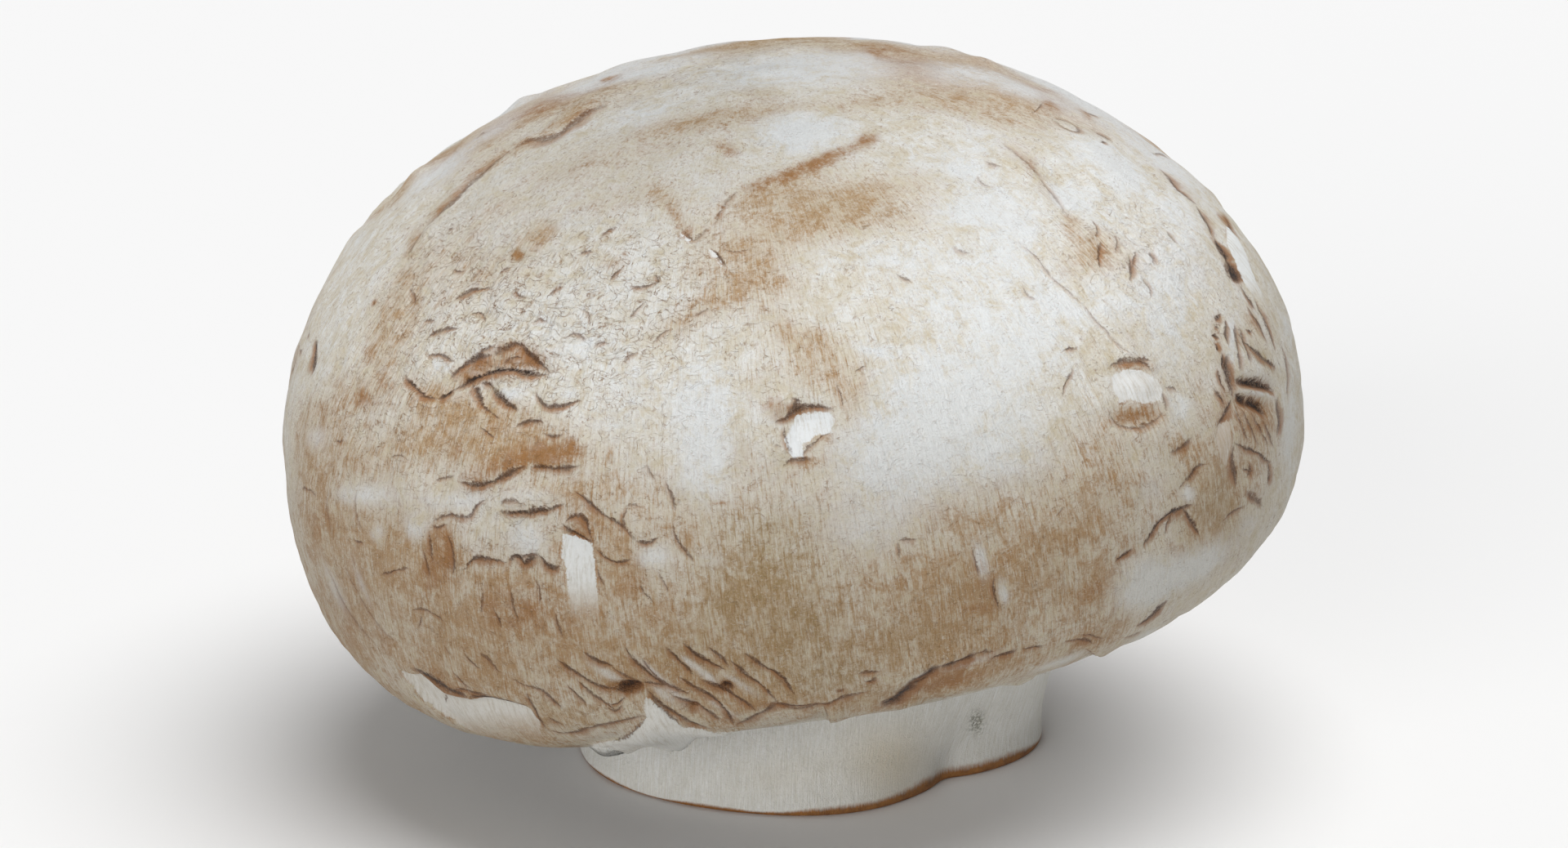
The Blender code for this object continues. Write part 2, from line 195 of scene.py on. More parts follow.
# Cracks and creases, in pixels of the photograph: half width (mm), darkness, step (mm, above 0 where the
# upper side stands proud), then the places that each runs through
CRACKS = {
    "long crease over the upper left": (
        (0.13, 0.55, 0.2, (748, 128), (720, 138), (699, 152), (675, 170), (650, 171), (626, 184)),
        (0.1, 0.5, 0.16, (626, 184), (609, 197), (585, 216), (560, 240), (536, 263), (520, 279)),
        (0.08, 0.35, 0.1, (520, 279), (511, 292), (503, 303), (500, 316)),
    ),
    "small marks of the crown": (
        (0.1, 0.7, 0.0, (554, 369), (560, 362), (569, 357), (585, 352), (601, 350)),
        (0.06, 0.55, 0.0, (769, 348), (781, 350), (793, 350), (809, 342)),
        (0.05, 0.55, 0.0, (548, 281), (555, 279)),
        (0.06, 0.45, 0.0, (572, 331), (583, 326)),
        (0.06, 0.6, 0.0, (458, 377), (460, 368)),
        (0.05, 0.45, 0.0, (671, 362), (680, 354), (692, 350)),
        (0.05, 0.4, 0.0, (887, 305), (903, 309), (918, 305)),
        (0.05, 0.35, 0.0, (574, 341), (586, 333), (590, 326)),
        (0.05, 0.4, 0.0, (897, 60), (903, 57)),
        (0.05, 0.35, 0.0, (584, 170), (590, 164), (597, 163)),
        (0.05, 0.4, 0.0, (634, 377), (642, 380), (645, 383)),
    ),
    "point of the V stain": (
        (0.1, 0.45, 0.14, (836, 279), (847, 295), (856, 286), (868, 279)),
        (0.07, 0.35, 0.1, (871, 276), (881, 262), (889, 245), (905, 233)),
        (0.07, 0.7, 0.06, (871, 303), (880, 313), (889, 326)),
    ),
    "thin strokes over the upper left": (
        (0.05, 0.55, 0.05, (554, 329), (560, 332), (568, 329)),
        (0.05, 0.6, 0.05, (575, 384), (585, 381), (593, 384), (594, 395)),
        (0.05, 0.6, 0.05, (518, 393), (526, 391), (534, 394)),
        (0.05, 0.5, 0.05, (800, 334), (808, 342), (801, 350)),
        (0.05, 0.5, 0.05, (746, 345), (755, 335), (764, 325)),
        (0.05, 0.55, 0.05, (707, 313), (717, 307), (729, 309)),
        (0.05, 0.5, 0.05, (736, 291), (743, 282), (756, 278)),
        (0.05, 0.45, 0.05, (706, 291), (711, 286), (717, 284)),
        (0.05, 0.45, 0.06, (771, 391), (780, 379), (790, 370)),
        (0.05, 0.45, 0.06, (714, 377), (724, 387), (722, 399)),
        (0.05, 0.5, 0.06, (629, 356), (636, 363), (647, 364)),
        (0.05, 0.5, 0.05, (612, 335), (619, 329), (627, 327)),
        (0.05, 0.45, 0.06, (800, 420), (807, 409), (821, 402)),
        (0.05, 0.45, 0.06, (726, 425), (736, 419), (748, 421)),
        (0.05, 0.45, 0.06, (690, 414), (700, 408), (712, 410), (718, 419)),
        (0.05, 0.45, 0.06, (650, 396), (660, 390), (670, 394)),
        (0.05, 0.4, 0.06, (763, 446), (770, 436), (782, 432)),
        (0.05, 0.45, 0.06, (502, 352), (508, 362), (506, 374)),
        (0.05, 0.4, 0.05, (848, 388), (858, 381), (870, 379)),
    ),
    "thin strokes over the upper right": (
        (0.05, 0.4, 0.05, (1336, 268), (1343, 280), (1342, 292)),
        (0.05, 0.4, 0.05, (1362, 286), (1368, 298), (1366, 310)),
        (0.05, 0.4, 0.05, (1428, 282), (1434, 294), (1442, 302)),
        (0.05, 0.4, 0.05, (1400, 342), (1408, 352), (1410, 364)),
        (0.05, 0.35, 0.04, (1206, 196), (1216, 202), (1226, 204)),
        (0.05, 0.35, 0.04, (1198, 214), (1204, 224), (1214, 228)),
        (0.05, 0.35, 0.04, (1168, 300), (1176, 308), (1188, 310)),
        (0.05, 0.35, 0.04, (1252, 352), (1258, 362), (1268, 366)),
        (0.06, 0.55, 0.05, (1372, 150), (1384, 160), (1392, 164)),
        (0.06, 0.55, 0.05, (1398, 168), (1408, 176), (1418, 178)),
    ),
    "thin strokes over the left flank": (
        (0.06, 0.6, 0.05, (466, 703), (476, 700), (487, 697), (502, 694)),
        (0.05, 0.6, 0.0, (605, 744), (611, 754), (615, 770)),
        (0.05, 0.5, 0.0, (654, 706), (662, 722), (661, 740)),
        (0.05, 0.5, 0.0, (626, 720), (628, 740), (634, 760)),
        (0.06, 0.6, 0.05, (731, 697), (735, 707), (740, 715)),
        (0.05, 0.5, 0.05, (783, 714), (789, 727), (801, 738)),
        (0.06, 0.55, 0.06, (824, 641), (827, 662), (842, 676), (849, 689)),
        (0.06, 0.55, 0.06, (770, 620), (764, 633), (769, 650), (779, 661)),
        (0.05, 0.55, 0.05, (569, 800), (579, 812), (590, 818)),
        (0.06, 0.6, 0.06, (556, 821), (565, 834), (578, 843)),
        (0.05, 0.55, 0.05, (586, 798), (599, 806), (609, 820), (615, 824)),
        (0.05, 0.55, 0.05, (412, 538), (417, 541), (423, 539)),
        (0.06, 0.6, 0.05, (433, 659), (438, 663), (447, 664)),
        (0.05, 0.5, 0.05, (370, 596), (384, 599), (390, 608)),
        (0.05, 0.5, 0.0, (680, 748), (682, 766), (690, 782)),
        (0.05, 0.45, 0.0, (590, 716), (592, 734), (590, 750)),
        (0.05, 0.45, 0.05, (478, 560), (488, 556), (498, 560)),
        (0.05, 0.45, 0.05, (806, 700), (814, 712), (818, 726)),
    ),
    "folds near the left edge": (
        (0.05, 0.3, 0.12, (399, 694), (414, 730), (436, 764), (462, 792)),
        (0.05, 0.3, 0.12, (420, 690), (436, 726), (458, 758), (486, 786)),
        (0.05, 0.25, 0.1, (404, 600), (402, 628), (408, 656)),
        (0.05, 0.3, 0.1, (440, 600), (438, 624), (446, 650)),
    ),
    "upper edge of the left cluster": (
        (0.1, 0.75, 0.2, (550, 464), (562, 452), (574, 443), (585, 437), (605, 435)),
        (0.11, 0.75, 0.24, (605, 435), (622, 427), (640, 419), (645, 431), (662, 444), (676, 458)),
        (0.06, 0.55, 0.06, (585, 437), (600, 428), (611, 425)),
        (0.06, 0.55, 0.06, (615, 444), (626, 437), (640, 436)),
    ),
    "lower edge of the left cluster": (
        (0.09, 0.8, -0.22, (495, 458), (505, 471), (515, 480), (527, 488), (538, 489)),
        (0.1, 0.9, -0.22, (538, 489), (548, 483), (556, 474)),
        (0.15, 1.0, -0.3, (552, 477), (569, 467), (585, 460), (605, 453), (626, 451), (646, 457),
         (673, 458)),
    ),
    "branches under the left cluster": (
        (0.12, 0.8, -0.12, (575, 466), (583, 476), (589, 490), (593, 500), (601, 506)),
        (0.16, 0.85, 0.14, (599, 470), (607, 480), (618, 490), (626, 497), (634, 502)),
        (0.07, 0.7, 0.0, (587, 468), (594, 467), (603, 473)),
        (0.1, 0.75, 0.16, (656, 478), (661, 491), (670, 498), (691, 496), (713, 489)),
        (0.08, 0.65, 0.1, (522, 415), (533, 407), (547, 403), (564, 403)),
        (0.08, 0.65, 0.1, (524, 437), (536, 433), (545, 436), (557, 443)),
        (0.09, 0.7, 0.1, (630, 522), (643, 515), (654, 514), (665, 517)),
        (0.07, 0.65, 0.08, (667, 532), (679, 534), (690, 532)),
        (0.05, 0.6, 0.0, (588, 522), (596, 530), (607, 537)),
        (0.06, 0.6, 0.0, (603, 506), (611, 512)),
    ),
    "step under the brown patch": (
        (0.12, 0.75, 0.3, (563, 590), (575, 593), (590, 593), (607, 588), (626, 576), (646, 570)),
        (0.1, 0.7, 0.26, (646, 570), (670, 572), (697, 573), (711, 568)),
        (0.07, 0.45, 0.1, (533, 588), (545, 584), (557, 583)),
    ),
    "flap over the pale strip": (
        (0.13, 0.85, 0.3, (610, 625), (624, 628), (642, 627), (658, 624), (676, 621), (690, 617)),
        (0.07, 0.5, 0.12, (613, 619), (620, 612), (633, 611), (644, 620)),
        (0.1, 0.8, 0.22, (687, 641), (694, 649), (706, 656), (726, 663)),
        (0.09, 0.75, -0.18, (690, 640), (699, 632), (712, 628), (719, 641), (724, 661)),
        (0.08, 0.7, 0.14, (701, 599), (719, 612), (733, 626), (757, 638), (772, 648), (779, 661)),
        (0.09, 0.75, 0.16, (779, 661), (792, 665), (806, 658)),
        (0.08, 0.7, 0.16, (729, 672), (744, 684), (757, 689), (774, 684)),
    ),
    "wavy crack at the left": (
        (0.1, 0.75, 0.2, (568, 698), (575, 687), (586, 681), (603, 684), (622, 688)),
        (0.13, 0.85, 0.22, (622, 688), (629, 680), (637, 682), (642, 691), (648, 684), (658, 677)),
        (0.11, 0.8, 0.22, (658, 677), (666, 687), (674, 696), (687, 693)),
        (0.07, 0.6, 0.1, (637, 683), (650, 677), (662, 682)),
        (0.08, 0.6, 0.14, (532, 638), (541, 633), (552, 629), (567, 633), (576, 631), (581, 619),
         (596, 611)),
        (0.06, 0.55, 0.08, (530, 642), (536, 647), (549, 641)),
    ),
    "stripes beside the brown streak": (
        (0.07, 0.6, 0.0, (548, 652), (553, 672), (555, 690), (553, 706)),
        (0.06, 0.55, 0.0, (518, 672), (521, 690), (525, 706)),
        (0.05, 0.55, 0.0, (526, 650), (528, 672), (529, 688)),
    ),
    "marks of the left flank": (
        (0.08, 0.85, 0.0, (381, 459), (384, 440), (387, 413)),
        (0.05, 0.45, 0.0, (379, 415), (381, 405)),
        (0.05, 0.5, 0.06, (503, 747), (518, 746), (530, 753), (545, 761)),
        (0.04, 0.45, 0.0, (515, 755), (512, 768)),
        (0.05, 0.4, 0.05, (543, 789), (551, 797), (552, 802)),
        (0.05, 0.4, 0.0, (585, 797), (603, 812), (611, 822)),
        (0.05, 0.4, 0.05, (626, 828), (640, 837), (655, 842), (669, 845)),
        (0.05, 0.4, 0.0, (793, 568), (797, 578), (803, 588)),
        (0.06, 0.55, 0.05, (815, 588), (820, 600), (825, 614), (827, 626)),
        (0.04, 0.4, 0.05, (766, 621), (773, 616), (787, 621)),
    ),
    "centre wound": (
        (0.13, 0.8, 0.22, (948, 518), (960, 514), (968, 505), (975, 499), (990, 495), (1008, 498),
         (1021, 500)),
        (0.11, 0.75, -0.16, (966, 511), (972, 498), (977, 489), (968, 486)),
        (0.08, 0.55, -0.1, (962, 521), (960, 532), (966, 545), (969, 557)),
        (0.08, 0.6, 0.12, (959, 571), (964, 563), (978, 562), (994, 563)),
        (0.06, 0.5, 0.06, (983, 558), (988, 548), (998, 541), (1006, 532), (1018, 529)),
        (0.05, 0.45, 0.0, (1046, 456), (1054, 452), (1060, 449)),
        (0.05, 0.4, 0.05, (1024, 470), (1030, 485), (1033, 500)),
        (0.05, 0.45, 0.05, (948, 545), (957, 548)),
    ),
    "right wound": (
        (0.11, 0.65, 0.2, (1355, 452), (1362, 446), (1376, 442), (1390, 441), (1404, 445), (1411, 456)),
        (0.07, 0.55, 0.08, (1380, 446), (1395, 439), (1409, 442)),
        (0.08, 0.45, -0.2, (1357, 499), (1364, 514), (1376, 522), (1392, 525), (1412, 518), (1427, 503)),
        (0.06, 0.45, -0.12, (1427, 503), (1425, 491), (1423, 480)),
        (0.06, 0.5, 0.08, (1427, 474), (1435, 474), (1441, 479)),
        (0.06, 0.65, 0.0, (1301, 430), (1308, 427), (1318, 426)),
        (0.05, 0.5, 0.06, (1313, 449), (1311, 459), (1303, 469), (1300, 487)),
    ),
    "upper right creases": (
        (0.05, 0.3, 0.1, (1225, 174), (1241, 189), (1261, 202), (1278, 222), (1294, 242), (1311, 267)),
        (0.04, 0.26, 0.1, (1245, 297), (1262, 309), (1272, 318), (1290, 341), (1301, 349), (1327, 374)),
        (0.04, 0.26, 0.1, (1327, 374), (1343, 396), (1352, 402), (1370, 424), (1388, 439)),
        (0.08, 0.55, 0.06, (1349, 296), (1345, 311), (1349, 328)),
        (0.08, 0.6, 0.06, (1382, 313), (1386, 328), (1384, 344)),
        (0.06, 0.5, 0.06, (1390, 308), (1388, 326)),
        (0.06, 0.5, 0.06, (1406, 308), (1412, 316), (1413, 324)),
        (0.06, 0.45, 0.06, (1288, 144), (1302, 156), (1319, 164), (1322, 155), (1308, 146), (1290, 143)),
        (0.06, 0.55, 0.0, (1326, 136), (1336, 140), (1344, 142)),
        (0.05, 0.55, 0.0, (1341, 160), (1352, 166), (1362, 173)),
        (0.08, 0.65, 0.0, (1346, 176), (1354, 174)),
        (0.04, 0.4, 0.04, (1264, 138), (1272, 133), (1276, 127)),
        (0.05, 0.5, 0.08, (1412, 188), (1422, 188), (1433, 195)),
        (0.07, 0.6, 0.14, (1420, 205), (1431, 215), (1441, 232), (1451, 240), (1466, 252)),
        (0.08, 0.65, 0.16, (1464, 252), (1473, 266), (1480, 276), (1484, 290)),
        (0.06, 0.55, 0.0, (1466, 254), (1474, 268), (1477, 275)),
        (0.04, 0.4, 0.05, (1097, 335), (1108, 341), (1118, 345)),
    ),
    "dark wedge at the right": (
        (0.16, 1.0, 0.1, (1488, 292), (1497, 308), (1505, 322)),
        (0.3, 1.0, 0.1, (1502, 316), (1509, 328), (1514, 338), (1519, 347)),
        (0.08, 0.7, -0.1, (1522, 351), (1529, 362), (1538, 378)),
        (0.07, 0.6, 0.0, (1500, 266), (1506, 278), (1507, 287)),
    ),
    "gouge at the right": (
        (0.13, 1.0, 0.0, (1495, 385), (1491, 389), (1488, 391)),
        (0.12, 1.0, 0.0, (1487, 397), (1491, 400), (1494, 403)),
        (0.13, 1.0, 0.0, (1484, 411), (1489, 411), (1493, 414)),
        (0.12, 1.0, 0.0, (1488, 421), (1492, 424), (1490, 430)),
        (0.08, 0.9, 0.0, (1496, 432), (1499, 440), (1497, 452)),
        (0.06, 0.7, 0.0, (1502, 392), (1500, 408), (1503, 424)),
        (0.07, 0.8, 0.0, (1486, 476), (1493, 486), (1499, 496)),
        (0.06, 0.7, 0.0, (1490, 452), (1494, 468), (1499, 480)),
        (0.2, 0.85, 0.3, (1504, 434), (1502, 452), (1507, 470), (1510, 487)),
        (0.1, 0.8, 0.2, (1510, 487), (1503, 500), (1497, 510), (1488, 523)),
        (0.26, 1.0, 0.0, (1514, 465), (1527, 467), (1541, 469), (1554, 473), (1563, 478)),
        (0.22, 1.0, 0.0, (1514, 482), (1522, 487), (1532, 491)),
        (0.24, 1.0, 0.0, (1530, 489), (1541, 494), (1546, 500), (1551, 508)),
        (0.1, 0.8, 0.1, (1519, 416), (1533, 428), (1549, 440), (1563, 452)),
        (0.08, 0.8, 0.0, (1524, 402), (1533, 407)),
        (0.12, 0.7, 0.1, (1566, 484), (1564, 500), (1568, 516), (1563, 534)),
        (0.08, 0.8, 0.1, (1510, 542), (1524, 548), (1540, 554), (1550, 562), (1558, 567)),
        (0.07, 0.75, 0.0, (1521, 574), (1534, 577)),
        (0.07, 0.75, 0.0, (1529, 567), (1531, 576), (1526, 583)),
        (0.08, 0.7, 0.0, (1552, 564), (1556, 580), (1552, 594)),
        (0.12, 0.7, 0.12, (1510, 544), (1509, 562), (1513, 580), (1515, 597)),
        (0.18, 0.55, 0.1, (1526, 601), (1537, 609), (1548, 618)),
        (0.06, 0.65, 0.0, (1536, 364), (1545, 384), (1555, 408), (1563, 432)),
        (0.06, 0.6, 0.0, (1527, 372), (1536, 392), (1552, 420)),
        (0.06, 0.6, 0.0, (1517, 400), (1522, 420), (1530, 446)),
        (0.07, 0.6, 0.0, (1511, 396), (1514, 424), (1518, 455)),
        (0.06, 0.55, 0.0, (1520, 500), (1528, 520), (1540, 545)),
        (0.06, 0.55, 0.0, (1532, 504), (1540, 520), (1552, 545)),
        (0.06, 0.55, 0.0, (1545, 512), (1551, 528), (1560, 548)),
        (0.06, 0.55, 0.0, (1512, 500), (1518, 520), (1527, 540)),
        (0.05, 0.5, 0.0, (1570, 420), (1576, 450), (1577, 490)),
    ),
    "lower right cracks": (
        (0.07, 0.7, 0.12, (1476, 568), (1467, 568), (1454, 585), (1444, 599)),
        (0.1, 0.75, 0.16, (1467, 569), (1461, 580), (1453, 589)),
        (0.1, 0.6, 0.16, (1459, 535), (1450, 547), (1433, 554)),
        (0.1, 0.95, 0.18, (1458, 617), (1444, 622), (1430, 629), (1419, 640), (1407, 657), (1398, 673)),
        (0.09, 0.85, 0.14, (1447, 621), (1457, 634), (1463, 645), (1468, 656)),
        (0.05, 0.55, 0.05, (1436, 628), (1430, 645), (1427, 655)),
        (0.1, 0.9, 0.16, (1387, 671), (1377, 679), (1366, 687)),
        (0.06, 0.6, 0.1, (1496, 638), (1510, 626), (1525, 619)),
        (0.05, 0.45, 0.05, (1100, 661), (1112, 661), (1123, 660)),
        (0.05, 0.4, 0.05, (1100, 662), (1101, 676), (1102, 686)),
        (0.05, 0.45, 0.06, (1302, 622), (1296, 628), (1293, 632)),
        (0.06, 0.7, 0.06, (1217, 706), (1216, 718), (1220, 732), (1223, 745)),
        (0.05, 0.55, 0.0, (1190, 672), (1196, 688), (1198, 704)),
    ),
    "oblique cracks over the lower front": (
        (0.1, 0.85, 0.16, (836, 786), (849, 799), (866, 809), (888, 820)),
        (0.08, 0.75, 0.14, (815, 792), (831, 808), (850, 826)),
        (0.09, 0.8, 0.16, (764, 790), (774, 805), (788, 818), (805, 832), (826, 842)),
        (0.08, 0.75, 0.12, (714, 797), (728, 807), (752, 816)),
        (0.08, 0.75, 0.14, (911, 798), (930, 812), (951, 822), (963, 832), (974, 850)),
        (0.08, 0.75, 0.14, (894, 806), (914, 826), (938, 842), (952, 858)),
        (0.1, 0.8, 0.16, (791, 843), (808, 860), (828, 872), (850, 884), (872, 889)),
        (0.1, 0.8, 0.16, (829, 826), (850, 841), (870, 852), (889, 868), (899, 886)),
        (0.09, 0.75, 0.14, (820, 848), (845, 860), (866, 869), (884, 882)),
        (0.1, 0.8, 0.16, (857, 831), (884, 842), (908, 856), (926, 870)),
        (0.08, 0.75, 0.14, (681, 806), (696, 818), (716, 830), (740, 841), (756, 845)),
        (0.07, 0.7, 0.12, (706, 832), (727, 850), (743, 860), (755, 868)),
        (0.07, 0.65, 0.1, (695, 838), (708, 852), (718, 862)),
        (0.07, 0.65, 0.1, (644, 838), (666, 843), (679, 857), (690, 866)),
        (0.06, 0.55, 0.1, (748, 815), (762, 826), (781, 835)),
        (0.07, 0.65, 0.12, (786, 806), (803, 826), (828, 842), (846, 850)),
        (0.06, 0.6, 0.1, (866, 790), (882, 802), (894, 815)),
        (0.05, 0.6, 0.0, (785, 837), (800, 836), (823, 838)),
        (0.05, 0.6, 0.0, (742, 858), (752, 863), (766, 853)),
        (0.05, 0.55, 0.0, (744, 866), (756, 869), (762, 862)),
        (0.22, 1.0, 0.1, (752, 846), (764, 843), (776, 840), (788, 841)),
        (0.2, 1.0, 0.1, (881, 838), (889, 840), (898, 842)),
        (0.16, 1.0, 0.1, (845, 864), (850, 867), (856, 866)),
    ),
    "seam above the lip at the front": (
        (0.09, 0.75, 0.12, (900, 887), (914, 881), (930, 874), (945, 866), (951, 856)),
        (0.09, 0.75, 0.14, (944, 860), (962, 862), (986, 864), (1008, 859)),
        (0.08, 0.7, 0.0, (911, 891), (920, 891), (930, 892)),
        (0.07, 0.6, 0.1, (1002, 858), (1012, 866), (1013, 882)),
        (0.07, 0.6, 0.1, (955, 862), (975, 868), (996, 866), (1010, 860), (1040, 852), (1068, 846)),
        (0.1, 0.8, 0.0, (1025, 848), (1033, 846)),
        (0.07, 0.65, 0.06, (1052, 826), (1063, 822), (1078, 822)),
        (0.07, 0.65, 0.06, (1058, 834), (1068, 836), (1072, 828)),
    ),
    "long crack above the lip": (
        (0.3, 1.0, 0.34, (1082, 866), (1094, 861), (1106, 853), (1111, 846), (1111, 838)),
        (0.28, 1.0, 0.44, (1109, 840), (1119, 836), (1130, 831), (1137, 828), (1143, 819), (1153, 816)),
        (0.2, 1.0, 0.38, (1150, 817), (1164, 813), (1180, 808), (1197, 799)),
        (0.09, 0.8, 0.1, (1115, 845), (1130, 838), (1141, 830)),
        (0.07, 0.65, 0.14, (1196, 799), (1206, 796), (1216, 797)),
        (0.08, 0.75, 0.2, (1212, 806), (1225, 801), (1236, 799), (1246, 795)),
        (0.06, 0.6, 0.1, (1250, 794), (1266, 793), (1280, 790)),
        (0.08, 0.65, 0.14, (1302, 788), (1315, 784), (1329, 782), (1339, 786)),
        (0.07, 0.65, 0.12, (1310, 797), (1325, 794), (1336, 796), (1345, 803)),
        (0.06, 0.55, 0.1, (1322, 776), (1335, 776), (1350, 781)),
        (0.06, 0.45, 0.06, (1222, 843), (1243, 838), (1262, 833), (1282, 825)),
        (0.09, 0.75, 0.1, (1283, 823), (1294, 821), (1310, 818)),
        (0.12, 0.9, 0.2, (1391, 766), (1402, 760), (1413, 751), (1420, 743), (1431, 736)),
        (0.05, 0.45, 0.06, (1376, 780), (1390, 776), (1400, 770)),
    ),
    "torn skin at the lower left": (
        (0.18, 1.0, 0.4, (505, 818), (519, 826), (533, 835), (552, 846), (573, 854)),
        (0.15, 1.0, 0.4, (573, 854), (594, 855), (618, 859), (645, 865)),
        (0.07, 0.6, 0.1, (552, 845), (566, 843), (580, 848), (600, 851)),
        (0.08, 0.7, 0.16, (645, 846), (653, 862), (661, 880), (669, 893)),
        (0.07, 0.6, 0.1, (669, 893), (690, 897), (708, 896), (728, 888), (748, 882), (770, 879),
         (793, 876)),
        (0.08, 0.75, 0.0, (541, 855), (541, 867)),
        (0.05, 0.55, 0.0, (671, 876), (684, 883), (690, 886)),
    ),
    "folds of the hanging veil": (
        (0.05, 0.5, -0.1, (792, 878), (780, 889), (764, 900), (748, 907)),
        (0.05, 0.5, 0.14, (834, 885), (815, 868), (795, 853)),
        (0.05, 0.6, 0.1, (854, 895), (831, 905), (800, 914), (772, 916), (742, 910)),
        (0.06, 0.65, 0.0, (640, 908), (660, 912), (690, 913), (712, 911)),
    ),
}

